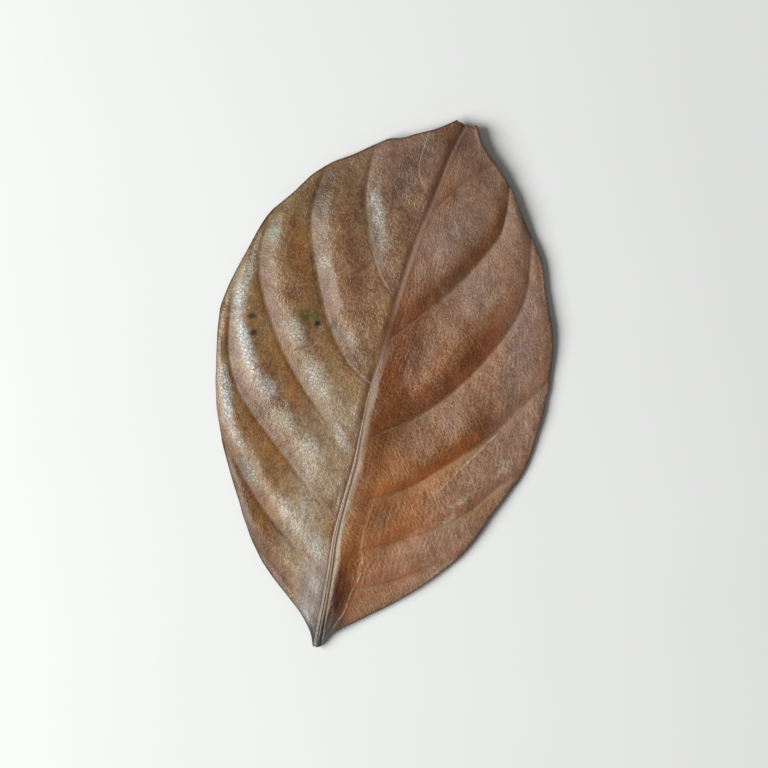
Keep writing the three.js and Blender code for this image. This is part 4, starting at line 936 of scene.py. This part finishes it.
    wrinkle = m.ramp(m.cells(m.warp(pos, 1.4, 0.6), 1.05), 0.0, 0.40)
    height = m.plus(m.mul(wrinkle, 0.025), m.mul(small, 0.05))
    height = m.plus(height, m.mul(m.mul(worm, m.plus(m.ramp(a["left"], 0.0, 1.0, 0.45, 0.6), m.mul(wax_and_highlight, 0.3))), 0.038))
    height = m.plus(height, m.mul(m.mul(wax_and_highlight, crumb), 0.06))
    height = m.plus(height, m.mul(lines, 0.030))
    height = m.plus(height, m.mul(mid, 0.09))
    bump = m.node("ShaderNodeBump")
    bump.inputs["Strength"].default_value = 1.0
    bump.inputs["Distance"].default_value = 0.001
    m.put(bump.inputs["Height"], height)
    rough = m.math("SUBTRACT", m.ramp(a["left"], 0.0, 1.0, 0.43, m.ramp(a["tm"], 0.45, 0.65, 0.28, 0.31)), m.mul(wax_and_highlight, -0.05))
    rough = m.plus(m.plus(rough, m.plus(m.mul(a["dull"], 0.14), m.mul(lit_slope_shade, 0.10))), m.mul(m.math("MAXIMUM", vein_groove_shade, edge), 0.12))

    shader = m.node("ShaderNodeBsdfPrincipled")
    m.put(shader.inputs["Base Color"], col)
    m.put(shader.inputs["Roughness"], rough)
    m.put(shader.inputs["Normal"], bump.outputs[0])
    shader.inputs["IOR"].default_value = 1.5
    out = m.node("ShaderNodeOutputMaterial")
    m.put(out.inputs["Surface"], shader.outputs[0])
    return m.material


def lower_face(name, light, dark):
    m = Maker(name)
    pos = m.scale(m.node("ShaderNodeTexCoord").outputs["Object"], 1000.0)
    dma, dvv, de_ = m.math("ABSOLUTE", m.attr("dm")), m.attr("dv"), m.attr("de")
    wpos = m.warp(pos, 3.0, 0.8)
    mid, small = m.noise(wpos, 4.0, 3.0, 0.6), m.noise(wpos, 0.8, 3.0, 0.6)
    veinwise = m.warp(m.vector(m.attr("along"), m.attr("across")), 5.0, 1.2)
    big = m.noise(m.vmath("ADD", wpos, (13.0, 5.0, 0.0)), 16.0, 4.0, 0.6)
    col = m.mix(m.ramp(mid, 0.3, 0.7), light, dark)
    col = m.mix(m.ramp(big, 0.5, 0.66, 0.0, 0.6), col, linear(122, 84, 54))
    col = m.mix(m.ramp(big, 0.44, 0.32, 0.0, 0.5), col, linear(178, 154, 124))
    col = m.mix(m.ramp(small, 0.5, 0.25, 0.0, 0.4), col, linear(96, 66, 42))
    rung = m.ramp(m.cells(m.vmath("MULTIPLY", veinwise, (1.0, 0.28, 1.0)), 1.5), 0.12, 0.03)
    net = m.ramp(m.cells(wpos, 0.9), 0.12, 0.02)
    lines = m.math("MAXIMUM", rung, m.mul(net, 0.6))
    col = m.mix(m.mul(lines, 0.5), col, linear(150, 112, 76))
    veins = m.math("MAXIMUM", m.ramp(dvv, 0.9, 0.3), m.ramp(dma, 1.7, 0.9))
    col = m.mix(m.mul(veins, 0.7), col, linear(164, 124, 84))
    col = m.mix(m.ramp(de_, 0.8, 0.1, 0.0, 0.6), col, linear(84, 56, 38))
    col = m.mix(m.ramp(m.attr("tm"), 0.08, 0.02, 0.0, 0.85), col, linear(78, 77, 73))
    height = m.plus(m.mul(lines, 0.05), m.mul(small, 0.09))
    bump = m.node("ShaderNodeBump")
    bump.inputs["Strength"].default_value = 1.0
    bump.inputs["Distance"].default_value = 0.001
    m.put(bump.inputs["Height"], height)
    shader = m.node("ShaderNodeBsdfPrincipled")
    m.put(shader.inputs["Base Color"], col)
    m.put(shader.inputs["Roughness"], m.ramp(small, 0.2, 0.8, 0.62, 0.8))
    m.put(shader.inputs["Normal"], bump.outputs[0])
    out = m.node("ShaderNodeOutputMaterial")
    m.put(out.inputs["Surface"], shader.outputs[0])
    return m.material


mesh.materials.append(upper_face())
mesh.materials.append(lower_face("leaf_lower", linear(172, 140, 106), linear(146, 112, 80)))
mesh.materials.append(lower_face("leaf_margin", linear(92, 64, 46), linear(70, 48, 36)))

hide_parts("leaf")
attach(leaf, "root")

# ---------------------------------------------------------------- floor, light, camera
TURN = math.radians(16.12575)
right_axis = Vector((math.cos(TURN), math.sin(TURN), 0))
up_axis = Vector((-math.sin(TURN), math.cos(TURN), 0))
centre = Vector((0.0024, -0.0003, 0.004))


def floor_material():
    m = Maker("floor_card")
    pos = m.scale(m.node("ShaderNodeTexCoord").outputs["Object"], 1000.0)
    shader = m.node("ShaderNodeBsdfPrincipled")
    m.put(shader.inputs["Base Color"], m.mix(m.noise(pos, 60.0, 3.0), (0.90, 0.90, 0.895, 1), (0.93, 0.93, 0.925, 1)))
    m.put(shader.inputs["Roughness"], m.ramp(m.noise(pos, 0.6, 2.0), 0.0, 1.0, 0.75, 0.9))
    out = m.node("ShaderNodeOutputMaterial")
    m.put(out.inputs["Surface"], shader.outputs[0])
    return m.material


floor_mesh = bpy.data.meshes.new("floor_sheet")
floor_z = min(0.0, float(points[:, 2].min()))
floor_mesh.from_pydata([(-4, -4, floor_z), (4, -4, floor_z), (4, 4, floor_z), (-4, 4, floor_z)], [], [(0, 1, 2, 3)])
floor_mesh.materials.append(floor_material())
floor = bpy.data.objects.new("floor", floor_mesh)
bpy.context.scene.collection.objects.link(floor)


def softbox(name, x, y, z, width, height, power, colour=(1, 1, 1)):
    """A square light at image-frame metres x, y, z from the leaf, facing it."""
    data = bpy.data.lights.new(name, "AREA")
    data.shape, data.size, data.size_y = "RECTANGLE", width, height
    data.energy, data.color = power, colour
    lamp = bpy.data.objects.new(name, data)
    place = right_axis * x + up_axis * y + Vector((0, 0, z))
    lamp.location = centre + place
    lamp.rotation_mode = "QUATERNION"
    lamp.rotation_quaternion = (-place).to_track_quat("-Z", "Y")
    lamp.visible_camera = False
    bpy.context.scene.collection.objects.link(lamp)


softbox("window", -0.98, -0.14, 0.80, 1.05, 0.95, 24.0, (0.96, 0.98, 0.975))

world = bpy.data.worlds.new("room")
world.use_nodes = True
world.node_tree.nodes["Background"].inputs[0].default_value = (1.0, 0.985, 0.96, 1)
world.node_tree.nodes["Background"].inputs[1].default_value = 0.16
bpy.context.scene.world = world
bpy.context.scene.view_settings.view_transform = "Standard"

camera = bpy.data.cameras.new("camera")
camera.sensor_width, camera.lens = 36.0, 272.7
camera.clip_start, camera.clip_end = 0.05, 20.0
eye = bpy.data.objects.new("camera", camera)
eye.location = centre + Vector((0, 0, 1.6))
eye.rotation_euler = (0, 0, TURN)
bpy.context.scene.collection.objects.link(eye)
bpy.context.scene.camera = eye
